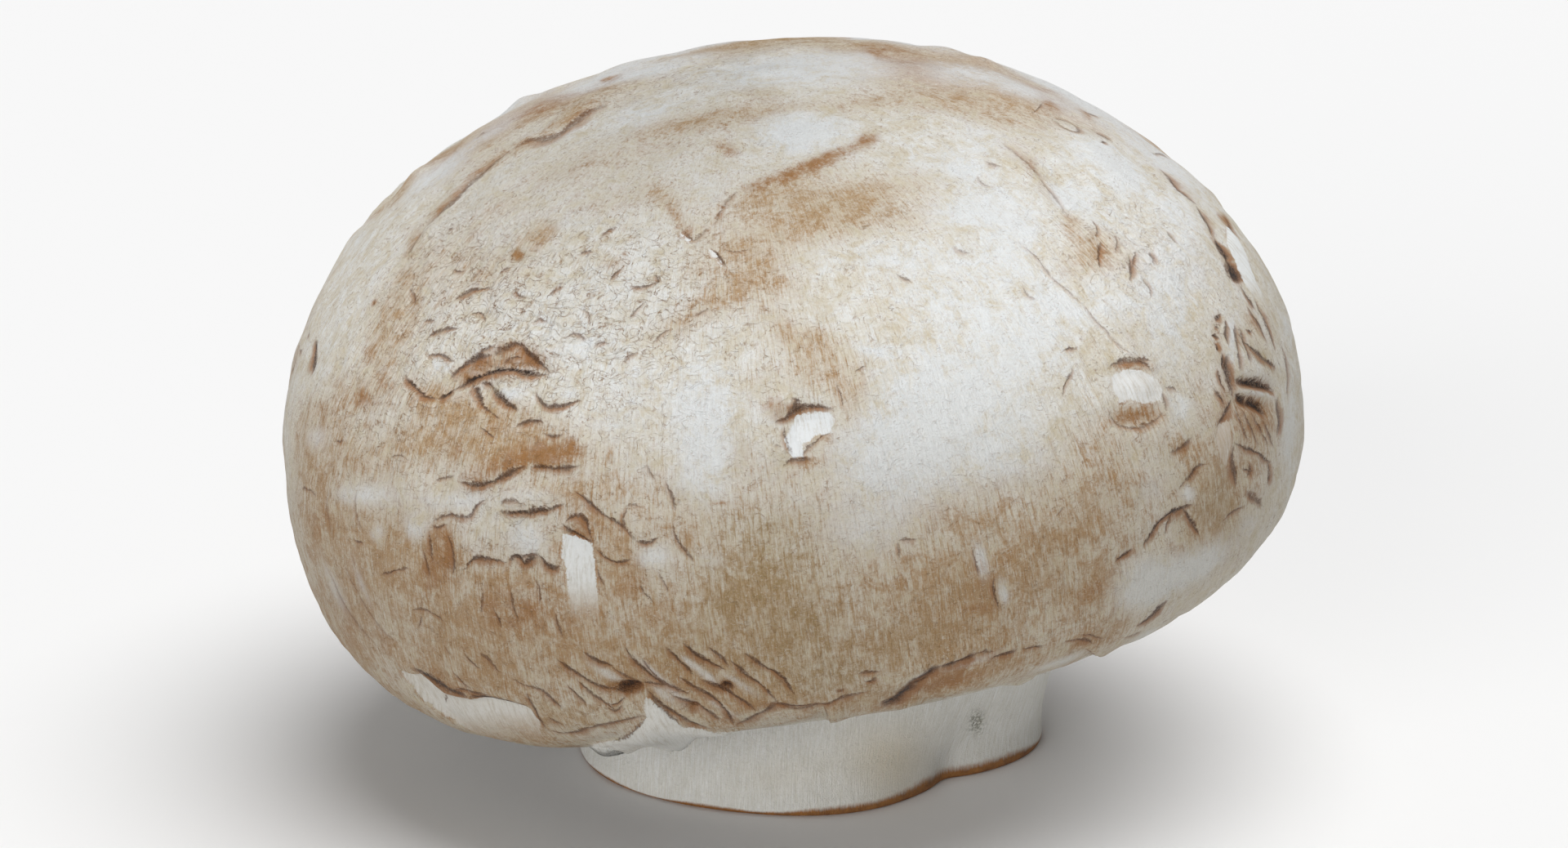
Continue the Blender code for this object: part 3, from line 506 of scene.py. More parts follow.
# Stains and painted light, in pixels of the photograph: centre, half width, half height, tilt (degrees,
# clockwise), strength
STAINS_AND_PAINTED_LIGHT = {
    "tan": {
        "washes": (
            (690, 240, 170, 60, -24, 0.14), (870, 150, 110, 30, -8, 0.18), (900, 250, 110, 50, 0, 0.2),
            (560, 340, 80, 80, -30, 0.16), (760, 180, 120, 30, -20, 0.16), (960, 630, 320, 46, 0, 0.2),
            (1180, 650, 180, 46, 0, 0.14), (960, 750, 380, 60, 0, 0.34), (700, 560, 220, 60, 0, 0.14),
            (1000, 570, 160, 30, 0, 0.14), (1200, 590, 140, 30, 0, 0.14), (1330, 640, 90, 60, -30, 0.2),
        ),
        "crown": (
            (1130, 122, 100, 12, 4, 0.26), (1190, 138, 50, 10, 18, 0.16), (1060, 126, 40, 9, -5, 0.24),
            (1330, 150, 42, 9, 27, 0.2), (1240, 186, 24, 12, 30, 0.34), (1072, 236, 85, 28, -4, 0.46),
            (982, 214, 70, 14, -24, 0.36), (1000, 252, 60, 24, -8, 0.52), (940, 238, 45, 18, -18, 0.45),
            (846, 152, 55, 10, -10, 0.42), (912, 140, 34, 9, -12, 0.42), (932, 114, 30, 8, 0, 0.35),
            (826, 260, 10, 30, -38, 0.42), (800, 236, 22, 16, 0, 0.3), (1050, 270, 90, 18, -4, 0.35),
            (980, 132, 60, 8, 0, 0.3), (760, 128, 40, 9, -14, 0.25),
        ),
        "upper left": (
            (700, 143, 34, 8, -30, 0.6), (642, 179, 26, 7, -26, 0.55), (600, 203, 26, 7, -36, 0.55),
            (540, 252, 30, 7, -44, 0.5), (508, 292, 12, 12, 0, 0.55), (700, 205, 55, 16, -10, 0.18),
            (620, 250, 30, 12, -30, 0.22), (662, 286, 24, 13, -32, 0.65), (500, 342, 20, 45, 18, 0.42),
            (750, 322, 14, 9, 0, 0.45), (560, 300, 40, 18, -40, 0.22), (480, 390, 30, 30, 0, 0.35),
            (740, 250, 40, 14, -12, 0.2), (590, 330, 60, 24, -20, 0.2),
        ),
        "below the V stain": (
            (912, 315, 44, 20, 18, 0.58), (900, 346, 36, 22, 0, 0.52), (868, 372, 44, 20, -28, 0.45),
            (816, 402, 34, 14, -26, 0.42), (946, 350, 40, 26, 20, 0.35), (960, 290, 60, 24, -6, 0.35),
            (850, 330, 24, 14, -20, 0.3),
        ),
        "left flank": (
            (470, 425, 30, 46, 8, 0.45), (440, 475, 44, 26, 0, 0.45), (400, 508, 40, 26, 0, 0.45),
            (430, 560, 66, 34, 0, 0.5), (400, 645, 42, 56, -8, 0.58), (440, 740, 42, 60, -14, 0.58),
            (500, 806, 60, 22, 32, 0.4), (372, 560, 16, 60, -4, 0.45), (530, 482, 30, 16, 0, 0.6),
            (600, 500, 50, 14, 0, 0.45), (560, 500, 60, 20, 0, 0.4), (560, 522, 60, 24, 4, 0.5),
            (520, 546, 50, 26, 0, 0.5), (604, 548, 44, 24, 0, 0.7), (652, 554, 54, 20, 0, 0.74),
            (690, 600, 34, 12, 0, 0.5), (640, 520, 50, 18, 10, 0.35), (536, 692, 26, 38, 4, 0.78),
            (650, 662, 44, 14, 0, 0.38), (744, 646, 26, 16, 34, 0.6), (758, 690, 28, 22, 0, 0.45),
            (640, 706, 62, 14, 0, 0.45), (646, 750, 46, 38, 4, 0.62), (596, 735, 28, 36, 0, 0.5),
            (772, 718, 34, 22, 0, 0.5), (706, 800, 86, 34, 0, 0.5), (560, 770, 44, 40, -16, 0.42),
            (470, 680, 30, 50, -6, 0.45), (600, 600, 60, 12, 0, 0.2), (742, 575, 14, 30, 0, 0.3),
            (820, 640, 30, 30, 0, 0.22), (780, 610, 30, 24, 0, 0.25), (836, 672, 12, 10, 0, 0.4),
        ),
        "centre": (
            (1000, 448, 46, 34, 0, 0.52), (1044, 484, 22, 40, 6, 0.52), (985, 416, 40, 16, 4, 0.5),
            (1003, 536, 14, 10, 0, 0.55), (990, 566, 26, 8, 0, 0.28), (930, 470, 20, 30, 0, 0.22),
            (908, 560, 14, 40, 0, 0.18), (940, 390, 40, 16, 10, 0.25),
        ),
        "right": (
            (1386, 450, 34, 12, 0, 0.36), (1384, 402, 20, 30, -24, 0.22), (1392, 508, 38, 16, 0, 0.5),
            (1286, 236, 9, 22, -38, 0.45), (1311, 272, 11, 16, -20, 0.5), (1262, 202, 10, 18, -42, 0.4),
            (1346, 302, 28, 26, 0, 0.48), (1392, 328, 28, 22, 0, 0.34), (1322, 318, 30, 22, -40, 0.34),
            (1424, 304, 40, 20, 20, 0.22), (1462, 336, 24, 28, 0, 0.24), (1440, 222, 18, 34, -52, 0.6),
            (1396, 172, 50, 10, 34, 0.42), (1452, 548, 20, 18, 0, 0.5), (1480, 588, 32, 34, 0, 0.45),
            (1500, 640, 40, 26, -20, 0.4), (1200, 722, 76, 26, 0, 0.56), (1328, 722, 38, 26, -34, 0.6),
            (1250, 690, 60, 22, -10, 0.48), (1308, 655, 60, 22, -22, 0.42), (1146, 690, 34, 20, 0, 0.38),
            (1360, 590, 60, 40, -30, 0.3), (1420, 400, 40, 40, 0, 0.12), (1200, 640, 70, 20, 0, 0.25),
            (1470, 480, 14, 60, 0, 0.2), (1535, 400, 30, 30, 0, 0.35), (1538, 520, 30, 34, 0, 0.6),
            (1530, 575, 26, 26, 0, 0.3), (1340, 540, 60, 24, 0, 0.25),
        ),
        "lower front": (
            (820, 832, 110, 32, 12, 0.52), (1062, 862, 62, 12, -4, 0.5), (1150, 846, 60, 14, -18, 0.5),
            (1090, 800, 90, 26, 0, 0.3), (1250, 806, 60, 12, -14, 0.4), (720, 880, 60, 16, 0, 0.45),
            (930, 850, 70, 24, 0, 0.45), (1330, 786, 30, 10, -18, 0.4), (600, 820, 60, 20, 24, 0.4),
            (440, 800, 30, 26, 30, 0.45), (500, 860, 60, 8, 34, 0.5), (1091, 932, 46, 44, 0, 0.45),
            (960, 950, 60, 24, 0, 0.14),
        ),
    },
    "brown": {
        "crown": (
            (972, 212, 42, 8, -24, 0.56), (1014, 194, 40, 8, -24, 0.58), (1062, 170, 16, 9, -34, 0.58),
            (925, 228, 24, 6, -20, 0.46), (888, 181, 18, 8, 16, 0.58), (850, 281, 18, 10, 0, 0.42),
            (880, 262, 6, 18, 24, 0.36), (824, 262, 5, 26, -36, 0.42), (1242, 184, 16, 6, 36, 0.22),
            (1050, 122, 24, 6, 0, 0.18),
        ),
        "upper left": (
            (714, 140, 22, 6, -30, 0.34), (634, 313, 7, 5, 0, 0.75), (503, 312, 7, 6, 0, 0.42),
            (750, 325, 8, 5, 0, 0.42), (586, 206, 12, 4, -36, 0.24), (660, 302, 16, 5, -32, 0.22),
            (745, 312, 5, 3, 0, 0.3), (684, 352, 7, 3, -20, 0.45), (671, 344, 3, 3, 0, 0.6),
            (764, 279, 5, 4, 0, 0.35), (764, 310, 3, 3, 0, 0.5), (715, 291, 4, 3, 0, 0.4),
            (728, 299, 3, 3, 0, 0.35), (707, 243, 2, 2, 0, 0.9), (707, 322, 9, 4, -30, 0.22),
            (576, 329, 12, 4, -20, 0.22),
        ),
        "below the V stain": (
            (904, 312, 26, 8, 20, 0.3), (912, 338, 20, 12, 0, 0.18), (880, 330, 9, 5, 30, 0.3),
        ),
        "left cluster": (
            (612, 444, 42, 9, -6, 0.62), (646, 436, 24, 14, 20, 0.44), (572, 460, 20, 9, -24, 0.66),
            (620, 428, 20, 6, -20, 0.4), (523, 484, 22, 6, 20, 0.3), (612, 462, 40, 5, 0, 0.4),
            (590, 478, 12, 10, 0, 0.2), (692, 553, 22, 18, 0, 0.5), (664, 554, 26, 17, 0, 0.48),
            (636, 562, 26, 12, -10, 0.44), (606, 574, 26, 9, -8, 0.5), (650, 553, 46, 14, 0, 0.34),
            (560, 560, 30, 8, 0, 0.26), (604, 520, 30, 10, 0, 0.24), (590, 588, 24, 6, 4, 0.36),
            (700, 596, 8, 20, 0, 0.24), (706, 650, 13, 13, 0, 0.62), (716, 655, 8, 9, 0, 0.4),
            (640, 626, 32, 5, 0, 0.36), (740, 646, 22, 8, 34, 0.28), (548, 678, 7, 34, 4, 0.72),
            (536, 690, 20, 36, -10, 0.28), (525, 706, 10, 28, 0, 0.6), (536, 660, 10, 14, 0, 0.3),
            (634, 690, 60, 5, 0, 0.34), (644, 748, 40, 30, 4, 0.48), (598, 742, 16, 34, 0, 0.24),
            (772, 716, 30, 18, 0, 0.36), (446, 487, 18, 12, 0, 0.62), (470, 472, 10, 14, 0, 0.52),
            (400, 505, 18, 10, 0, 0.32), (392, 640, 18, 40, -6, 0.3), (432, 700, 14, 46, -10, 0.26),
            (452, 430, 12, 14, 0, 0.2), (563, 550, 3, 4, 0, 0.9), (460, 372, 4, 6, 0, 0.5),
            (836, 671, 9, 7, 0, 0.26), (424, 770, 16, 36, -18, 0.22), (700, 760, 14, 40, 0, 0.14),
        ),
        "centre": (
            (948, 499, 15, 14, 0, 0.42), (972, 503, 14, 7, -20, 0.4), (960, 514, 9, 5, 0, 0.4),
            (990, 498, 22, 4, 0, 0.4), (871, 617, 4, 2, 0, 0.6), (883, 616, 5, 3, 0, 0.6),
            (888, 618, 2, 2, 0, 0.5), (1052, 450, 12, 5, -20, 0.2), (1040, 500, 14, 24, 0, 0.14),
            (984, 420, 30, 8, 0, 0.14),
        ),
        "right": (
            (1392, 511, 36, 11, 0, 0.4), (1410, 498, 16, 12, 0, 0.22), (1386, 446, 26, 5, 0, 0.4),
            (1262, 202, 8, 14, -42, 0.3), (1311, 268, 7, 10, 0, 0.24), (1349, 306, 12, 14, 0, 0.24),
            (1386, 322, 12, 16, 0, 0.24), (1498, 269, 8, 16, -30, 0.6), (1493, 440, 7, 50, 0, 0.22),
            (1493, 505, 9, 30, 14, 0.46), (1538, 470, 26, 8, 6, 0.5), (1534, 494, 22, 10, 14, 0.6),
            (1530, 410, 30, 34, 0, 0.08), (1530, 560, 26, 44, 0, 0.08), (1454, 549, 14, 9, -20, 0.32),
            (1530, 608, 18, 8, 26, 0.34), (1334, 724, 34, 12, -34, 0.4), (1206, 700, 18, 30, 0, 0.3),
            (1196, 744, 46, 8, 0, 0.34), (1384, 676, 14, 6, -34, 0.34), (1460, 580, 10, 12, 30, 0.34),
            (1440, 632, 30, 8, -30, 0.22), (1160, 700, 16, 16, 0, 0.14), (1552, 662, 5, 5, 0, 0.8),
            (1487, 400, 5, 14, 0, 0.26), (1512, 520, 14, 34, 0, 0.3), (1548, 520, 14, 26, 0, 0.34),
            (1502, 270, 6, 18, -20, 0.55), (1510, 330, 6, 22, -24, 0.5), (1490, 300, 5, 30, -28, 0.4),
        ),
        "lower front": (
            (770, 842, 20, 6, 0, 1.0), (890, 839, 8, 5, 10, 1.0), (849, 866, 6, 5, 0, 1.0),
            (830, 832, 90, 22, 14, 0.22), (720, 850, 40, 14, 20, 0.2), (900, 880, 16, 6, 0, 0.42),
            (1150, 841, 50, 10, -20, 0.64), (1090, 860, 24, 8, -14, 0.34), (950, 864, 30, 6, 0, 0.36),
            (1000, 862, 30, 4, 0, 0.28), (1225, 802, 30, 6, -12, 0.26), (1325, 790, 26, 8, -14, 0.3),
            (570, 848, 46, 5, 20, 0.6), (660, 895, 14, 8, 30, 0.24), (1030, 847, 8, 3, 0, 0.6),
            (740, 898, 40, 4, -10, 0.22), (1180, 815, 30, 4, -24, 0.3), (530, 822, 30, 6, 24, 0.24),
            (470, 790, 20, 20, 30, 0.2), (1058, 828, 10, 5, 0, 0.24),
        ),
    },
    "olive": {
        "flank": (
            (948, 690, 60, 46, 0, 0.55), (964, 764, 70, 52, 0, 0.5), (930, 644, 50, 22, 0, 0.35),
            (1004, 826, 80, 32, 0, 0.4), (880, 740, 40, 50, 0, 0.32), (1482, 610, 34, 30, 0, 0.42),
            (1512, 640, 30, 20, -20, 0.3), (676, 552, 34, 14, 0, 0.3), (820, 800, 60, 30, 0, 0.2),
            (1100, 850, 60, 14, 0, 0.22), (1196, 884, 8, 12, 0, 0.85), (634, 313, 9, 7, 0, 0.8),
            (1120, 780, 60, 30, 0, 0.22), (720, 875, 60, 16, 0, 0.3), (1040, 255, 70, 16, 0, 0.14),
            (1440, 470, 20, 50, 0, 0.15), (1542, 436, 26, 7, 42, 0.6),
        ),
    },
    "pale": {
        # Pale skin, and over the upper right of the crown partly painted light that makes that side brighter
        "crown": (
            (982, 159, 52, 22, 0, 0.95), (1050, 76, 150, 20, 2, 0.55), (940, 90, 80, 16, 0, 0.4),
            (1180, 92, 60, 12, 10, 0.3), (790, 138, 50, 18, -18, 0.45), (1368, 205, 46, 15, 38, 0.95),
            (1308, 243, 18, 12, 20, 0.75), (1196, 214, 46, 22, 20, 0.5), (1184, 256, 50, 20, 0, 0.56),
            (1110, 316, 120, 26, 0, 0.42), (1240, 280, 50, 40, 30, 0.58), (1336, 250, 60, 22, 38, 0.46),
            (1226, 380, 90, 40, 20, 0.36), (1300, 374, 26, 16, 30, 0.75), (870, 235, 24, 20, 0, 0.35),
            (700, 270, 40, 20, 0, 0.3), (1150, 370, 90, 24, 0, 0.3), (680, 390, 80, 34, -10, 0.28),
            (560, 200, 40, 12, -40, 0.3), (600, 290, 30, 20, -30, 0.28), (440, 290, 20, 40, 30, 0.45),
            (1240, 330, 60, 24, 20, 0.26), (740, 340, 60, 26, 0, 0.22), (530, 212, 52, 20, -38, 0.6),
            (612, 156, 60, 15, -32, 0.6), (716, 108, 80, 15, -24, 0.6), (824, 78, 76, 12, -12, 0.5),
            (1262, 112, 80, 18, 22, 0.6), (1210, 170, 70, 18, 24, 0.36), (1150, 190, 60, 18, 0, 0.3),
            (1330, 190, 60, 30, 36, 0.3), (1160, 60, 90, 12, 8, 0.5), (1060, 46, 150, 10, 3, 0.8),
            (1440, 322, 56, 56, 0, 0.48),
        ),
        "flank": (
            (862, 510, 38, 70, 0, 0.72), (860, 590, 34, 30, 0, 0.4), (782, 470, 38, 28, 0, 0.35),
            (1130, 520, 66, 84, 0, 0.66), (1200, 470, 80, 60, 20, 0.62), (1262, 424, 50, 34, 20, 0.48),
            (1078, 566, 60, 50, 0, 0.5), (1060, 650, 64, 34, 0, 0.36), (1220, 560, 80, 40, 0, 0.4),
            (1404, 716, 40, 30, -38, 0.8), (796, 818, 36, 5, 38, 0.6), (858, 822, 34, 5, 36, 0.6),
            (904, 836, 34, 5, 34, 0.45), (838, 856, 36, 5, 34, 0.5), (740, 822, 30, 6, 30, 0.45),
            (814, 850, 30, 5, 36, 0.45), (884, 868, 30, 5, 30, 0.4), (1190, 812, 40, 5, -22, 0.55),
            (1130, 826, 30, 5, -26, 0.45), (1202, 688, 7, 20, -10, 1.0), (1228, 724, 6, 16, -10, 0.9),
            (1470, 690, 44, 18, -38, 0.75), (1530, 640, 16, 26, 24, 0.35), (1072, 430, 30, 8, 10, 0.5),
            (408, 720, 8, 40, -24, 0.45), (440, 712, 6, 36, -24, 0.4), (556, 612, 56, 14, 0, 0.42),
            (640, 655, 22, 18, 0, 0.5), (655, 664, 20, 20, 0, 0.45), (463, 652, 10, 12, 0, 0.5),
            (386, 536, 14, 18, 0, 0.4), (510, 652, 11, 13, 0, 0.5), (434, 604, 24, 11, 0, 0.45),
            (460, 608, 34, 20, 0, 0.36), (622, 482, 22, 10, 0, 0.5), (690, 482, 28, 8, 0, 0.45),
            (720, 430, 60, 24, 0, 0.3), (760, 520, 40, 24, 0, 0.32), (802, 682, 24, 16, 0, 0.55),
            (872, 686, 18, 12, 0, 0.35), (1444, 500, 14, 22, 0, 0.5), (1410, 600, 20, 20, 0, 0.3),
            (1454, 604, 10, 12, 0, 0.6), (1356, 366, 40, 30, 20, 0.42), (1430, 400, 36, 60, 0, 0.42),
            (1440, 260, 26, 30, -30, 0.4), (540, 448, 14, 8, 0, 0.5), (655, 605, 36, 10, 0, 0.4),
            (512, 640, 24, 14, 0, 0.35), (1580, 520, 10, 90, 0, 0.6), (1538, 481, 24, 3, 10, 0.8),
            (1508, 412, 5, 30, 0, 0.7), (1520, 395, 4, 26, -18, 0.5), (1545, 395, 4, 26, -22, 0.45),
            (1530, 440, 20, 3, 42, 0.35), (1516, 555, 4, 20, 0, 0.3), (1575, 400, 8, 60, -8, 0.5),
            (1300, 812, 60, 7, -16, 0.6), (1400, 776, 60, 7, -26, 0.5),
        ),
    },
    # Painted shade: greys the skin over the upper left of the crown, over the front and at the veil fold
    "painted_shade": {
        "crown and front": (
            (770, 190, 340, 140, -14, 0.84), (960, 560, 340, 160, 0, 0.5), (1130, 862, 130, 40, -8, 0.4),
            (820, 898, 70, 22, -6, 0.95), (850, 400, 200, 60, 0, 0.2), (380, 780, 90, 60, 50, 0.3),
        ),
    },
    "cells": {
        "crown": (
            (665, 400, 190, 105, 0, 1.0), (560, 330, 90, 80, 0, 0.6), (1390, 300, 100, 70, 38, 0.55),
            (470, 500, 90, 90, 0, 0.55), (800, 330, 90, 60, 0, 0.6), (620, 660, 120, 90, 0, 0.35),
        ),
    },
}

# Places bare of skin: tone (0 white, 1 brown), depth (mm, below 0 where it stands proud), outline in pixels
BARE_PLACES = {
    "centre wound": (
        0.0, 0.22, (975, 506), (998, 503), (1019, 504), (1022, 518), (1020, 528), (1010, 532), (1000, 531),
        (990, 541), (983, 543), (983, 559), (970, 560), (963, 547), (961, 536), (968, 522),
    ),
    "right wound": (
        0.08, 0.1, (1361, 459), (1376, 453), (1398, 454), (1415, 463), (1424, 478), (1421, 490),
        (1402, 494), (1384, 489), (1370, 492), (1362, 478),
    ),
    "pale strip": (
        0.0, 0.16, (687, 650), (700, 658), (724, 665), (727, 690), (731, 722), (736, 764), (718, 776),
        (702, 768), (697, 735), (692, 700), (687, 676),
    ),
    "torn skin at the lower left": (
        0.14, 0.34, (489, 822), (513, 827), (544, 852), (569, 858), (601, 858), (646, 868), (661, 886),
        (668, 909), (626, 907), (585, 898), (552, 882), (520, 860),
    ),
    "veil fold": (
        0.06, -0.24, (791, 853), (813, 866), (834, 885), (862, 889), (905, 891), (854, 896), (830, 906),
        (796, 916), (764, 914), (722, 910), (756, 904), (781, 888), (793, 877), (788, 864),
    ),
    "strip beside the wedge": (
        0.0, -0.08, (1500, 276), (1509, 286), (1524, 312), (1539, 345), (1554, 376), (1546, 378),
        (1528, 350), (1512, 318), (1502, 296),
    ),
    "sliver in the gouge": (
        0.45, 0.02, (1490, 519), (1504, 514), (1506, 545), (1502, 573), (1493, 560), (1487, 540),
    ),
    "left sliver of the V": (
        0.05, -0.05, (828, 280), (835, 284), (847, 294), (843, 297), (836, 291),
    ),
    "right sliver of the V": (
        0.1, -0.05, (866, 302), (872, 305), (884, 320), (890, 330), (880, 324), (870, 312),
    ),
}

# Bare places that fade out downwards: between which rows of pixels
BARE_FADES = {
    "pale strip": (690, 775),
    "torn skin at the lower left": (866, 915),
    "strip beside the wedge": (330, 380),
}

# Lumps and hollows that the photograph shows: centre, half width, half height, tilt, height (mm)
RELIEF = {
    "left": (
        (612, 424, 56, 14, 0, 0.3), (612, 470, 60, 8, 0, -0.2), (676, 552, 40, 16, 0, -0.14),
        (660, 604, 50, 12, 0, 0.2), (520, 500, 40, 20, 0, 0.16), (500, 600, 44, 20, 0, 0.16),
        (450, 560, 36, 20, 0, 0.12), (420, 610, 36, 22, 0, 0.14), (560, 640, 30, 14, 0, 0.12),
        (640, 655, 30, 16, 0, 0.14), (706, 650, 12, 12, 0, -0.4), (760, 650, 26, 20, 0, 0.16),
        (790, 690, 24, 18, 0, 0.14), (600, 700, 40, 10, 0, 0.14), (560, 410, 26, 14, 0, 0.14),
        (700, 460, 40, 14, 0, 0.12), (634, 313, 7, 5, 0, -0.25), (716, 132, 34, 10, -30, 0.2),
        (640, 172, 30, 10, -26, 0.16), (548, 690, 8, 34, 0, -0.12), (380, 640, 20, 30, 0, 0.14),
        (400, 720, 20, 30, 0, -0.12),
    ),
    "right": (
        (1392, 474, 30, 18, 0, 0.24), (1392, 512, 34, 10, 0, -0.1), (1388, 446, 30, 8, 0, 0.14),
        (1300, 230, 30, 24, 30, -0.12), (1350, 196, 36, 14, 36, 0.14), (1450, 620, 30, 14, -30, 0.14),
        (1380, 700, 40, 16, -34, 0.12), (1534, 494, 20, 7, 12, -0.3), (1540, 469, 26, 5, 6, -0.2),
        (1538, 480, 24, 4, 8, 0.14), (1552, 661, 5, 5, 0, 0.45), (1470, 300, 16, 40, -40, 0.14),
    ),
    "front": (
        (995, 520, 26, 20, 0, -0.12), (950, 498, 14, 12, 0, 0.16), (1060, 470, 16, 30, 0, 0.1),
        (770, 842, 18, 6, 0, -0.4), (890, 839, 7, 5, 0, -0.3), (849, 866, 6, 5, 0, -0.3),
        (1150, 844, 40, 9, -20, -0.22), (1160, 806, 44, 8, -22, 0.2), (820, 896, 50, 10, -8, 0.2),
        (600, 838, 50, 8, 20, 0.14), (720, 880, 40, 12, 0, 0.16), (945, 740, 50, 30, 0, 0.1),
        (860, 500, 40, 60, 0, -0.08),
    ),
}

# Marks over the sides and back, which the photograph doesn't show: between which azimuths (degrees) they
# lie, and how far down the skin (mm)
HIDDEN_SEED = 11
HIDDEN_AZIMUTHS = (-2.0, 182.0)
HIDDEN_STAINS_FROM = 6.0
HIDDEN_LUMPS_FROM = 12.0
HIDDEN_CRACKS_SPAN = 30.0
HIDDEN_LOWEST = 50.0

# How many lumps, how far down each reaches and the heights that they may have (mm)
HIDDEN_LUMPS = 70
HIDDEN_LUMP_REACH = 1.2
HIDDEN_LUMP_HEIGHTS = (-0.22, 0.16, 0.24)

# Stains: kind, how many, size (mm), strength
HIDDEN_STAINS = (
    ("tan", 46, 4.2, 0.55),
    ("tan", 60, 1.6, 0.55),
    ("brown", 26, 2.6, 0.36),
    ("brown", 46, 0.6, 0.60),
    ("olive", 9, 4.5, 0.42),
    ("pale", 26, 3.4, 0.62),
    ("cells", 9, 7.0, 0.60),
)

# Cracks: how many, length of a stretch, half width, step (mm)
HIDDEN_CRACKS = (
    (26, 1.25, 0.13, 0.26),
    (44, 0.8, 0.09, 0.14),
    (60, 0.45, 0.06, 0.06),
)

# Swelling of the cap's skin: height and length of its waves (mm), how many, seed
SWELLS = ((0.05, 5.0, 40, 3), (0.03, 2.6, 40, 4))
GRIT = (0.016, 1.1, 50, 5)
CUSHIONS = (0.05, 1.7, 60, 8)

# Blob: how many of its radii it reaches, how fast it fades, and its least thickness (mm)
BLOB_REACH = 2.6
BLOB_FALL = 0.9
BLOB_THINNEST = 1.5

# Reach of what a mark changes round it (mm), how deep a groove is for its half width and from which half
# width (mm) on, how sharp a step is (mm), and the narrowest share of its width at which a crack is seen
CRACK_LAYERS = 5
CRACK_REACH = 0.62
HIDDEN_REACH = 1.8
STEP_REACH = 2.0
STEP_SPREAD = 0.9
BARE_REACH = 0.8
GRAZING = -0.25
GROOVE_DEPTH = 1.2
GROOVE_FROM = 0.04
STEP_SHARPNESS = 0.14
NARROWEST_SHARE = 0.28

# Tan of the flank: its share, the waves that make it uneven, between which distances down the skin it grows
# (mm), the share that the pale side loses, and where that side is (degrees)
FLANK_TAN = 0.46
FLANK_UNEVEN = (0.35, 9.0, 30, 6)
FLANK_SPAN = (30.0, 42.0)
PALE_FLANK_LOSS = 0.95
PALE_FLANK_AZIMUTH = -8.0
PALE_FLANK_SPREAD = 26.0

# A grid point is hidden where another one in the same cell (pixels) of the photograph is nearer by more than
# this depth (mm), or where it hardly faces the camera
SEEN_FACING = 0.03
SEEN_CELL = 10
SEEN_DEPTH = 4.0

# Rows down the profile and columns round it
SKIN_ROWS = 186
UNDER_ROWS = 22
STEM_ROWS = 26
COLUMNS = 420
FRONT_SHARE = 3.6
FRONT_AZIMUTH = -90.0


def smooth_step(value, low, high):
    """0 below low, 1 above high, easing between them."""
    share = np.clip((value - low) / (high - low), 0.0, 1.0)
    return share * share * (3.0 - 2.0 * share)


def turn_between(azimuth, centre):
    """Signed angle from centre to azimuth, both in degrees, between -180 and 180."""
    return (azimuth - centre + 180.0) % 360.0 - 180.0


def bell(azimuth, centre, spread):
    """Bell curve round the axis, 1 at centre."""
    return np.exp(-0.5 * (turn_between(azimuth, centre) / spread) ** 2)


def cut_corners(points, times):
    """Each pass replaces every corner by two points a quarter of the way along its sides."""
    for _ in range(times):
        inner = np.stack([points[:-1] * 0.75 + points[1:] * 0.25, points[:-1] * 0.25 + points[1:] * 0.75], 1)
        points = np.concatenate([points[:1], inner.reshape(-1, points.shape[1]), points[-1:]])
    return points


def spread_rows(points, density, count):
    """count points along a path, closer together where density is high."""
    steps = np.hypot(*np.diff(points, axis=0).T)
    run = np.concatenate([[0.0], np.cumsum(steps * (density[1:] + density[:-1]) / 2)])
    at = np.linspace(0.0, run[-1], count)
    return np.stack([np.interp(at, run, points[:, 0]), np.interp(at, run, points[:, 1])], 1)


def skin_path():
    """Quarter ellipse from the crown to the widest level, superellipse below it, then the lip's round."""
    angle = np.linspace(math.pi / 2, 0.0, 600)
    crown = np.stack([CAP_RADIUS * np.cos(angle), WIDEST_HEIGHT + CROWN_RISE * np.sin(angle)], 1)
    crown[0, 0] = 0.0
    radius = np.linspace(CAP_RADIUS, FLANK_END_RADIUS, 400)[1:]
    share = (1.0 - (radius / CAP_RADIUS) ** FLANK_POWER) ** (1.0 / FLANK_POWER)
    flank = np.stack([radius, WIDEST_HEIGHT - FLANK_DROP * share], 1)
    turn = np.radians(np.linspace(-35.0, -95.0, 12))
    lip_height = WIDEST_HEIGHT - LIP_CENTRE_DROP + LIP_ROUND * np.sin(turn)
    lip = np.stack([LIP_RADIUS + LIP_ROUND * np.cos(turn), lip_height], 1)
    path = np.concatenate([crown, flank, lip])
    level = (path[:, 1] - WIDEST_HEIGHT) / CROWN_RISE
    density = 1.0 - 0.45 * smooth_step(level, 0.55, 0.95)
    return spread_rows(path, density, SKIN_ROWS)


def under_path(start):
    """Veil out to its thin edge and back, then the chamber's wall and roof, down on to the stem's top."""
    level = WIDEST_HEIGHT - VEIL_DROP
    roof = WIDEST_HEIGHT - CHAMBER_ROOF_DROP
    half = VEIL_THICKNESS / 2
    middle = (LIP_RADIUS + VEIL_EDGE_RADIUS) / 2
    corners = [
        start,
        (LIP_RADIUS - 0.6, level - half - 0.05),
        (middle, level - half),
        (VEIL_EDGE_RADIUS + half, level - half),
        (VEIL_EDGE_RADIUS, level),
        (VEIL_EDGE_RADIUS + half, level + half),
        (middle, level + half),
        *((CHAMBER_RADIUS + out, level + up) for out, up in CHAMBER_WALL),
        *((CHAMBER_RADIUS + out, roof + up) for out, up in CHAMBER_SHOULDER),
        *((radius, roof + up) for radius, up in CHAMBER_ROOF),
        (STEM_TOP_RADIUS, WIDEST_HEIGHT - STEM_TOP_DROP),
    ]
    path = cut_corners(np.array(corners, float), 2)
    return spread_rows(path, np.ones(len(path)), UNDER_ROWS)[1:]


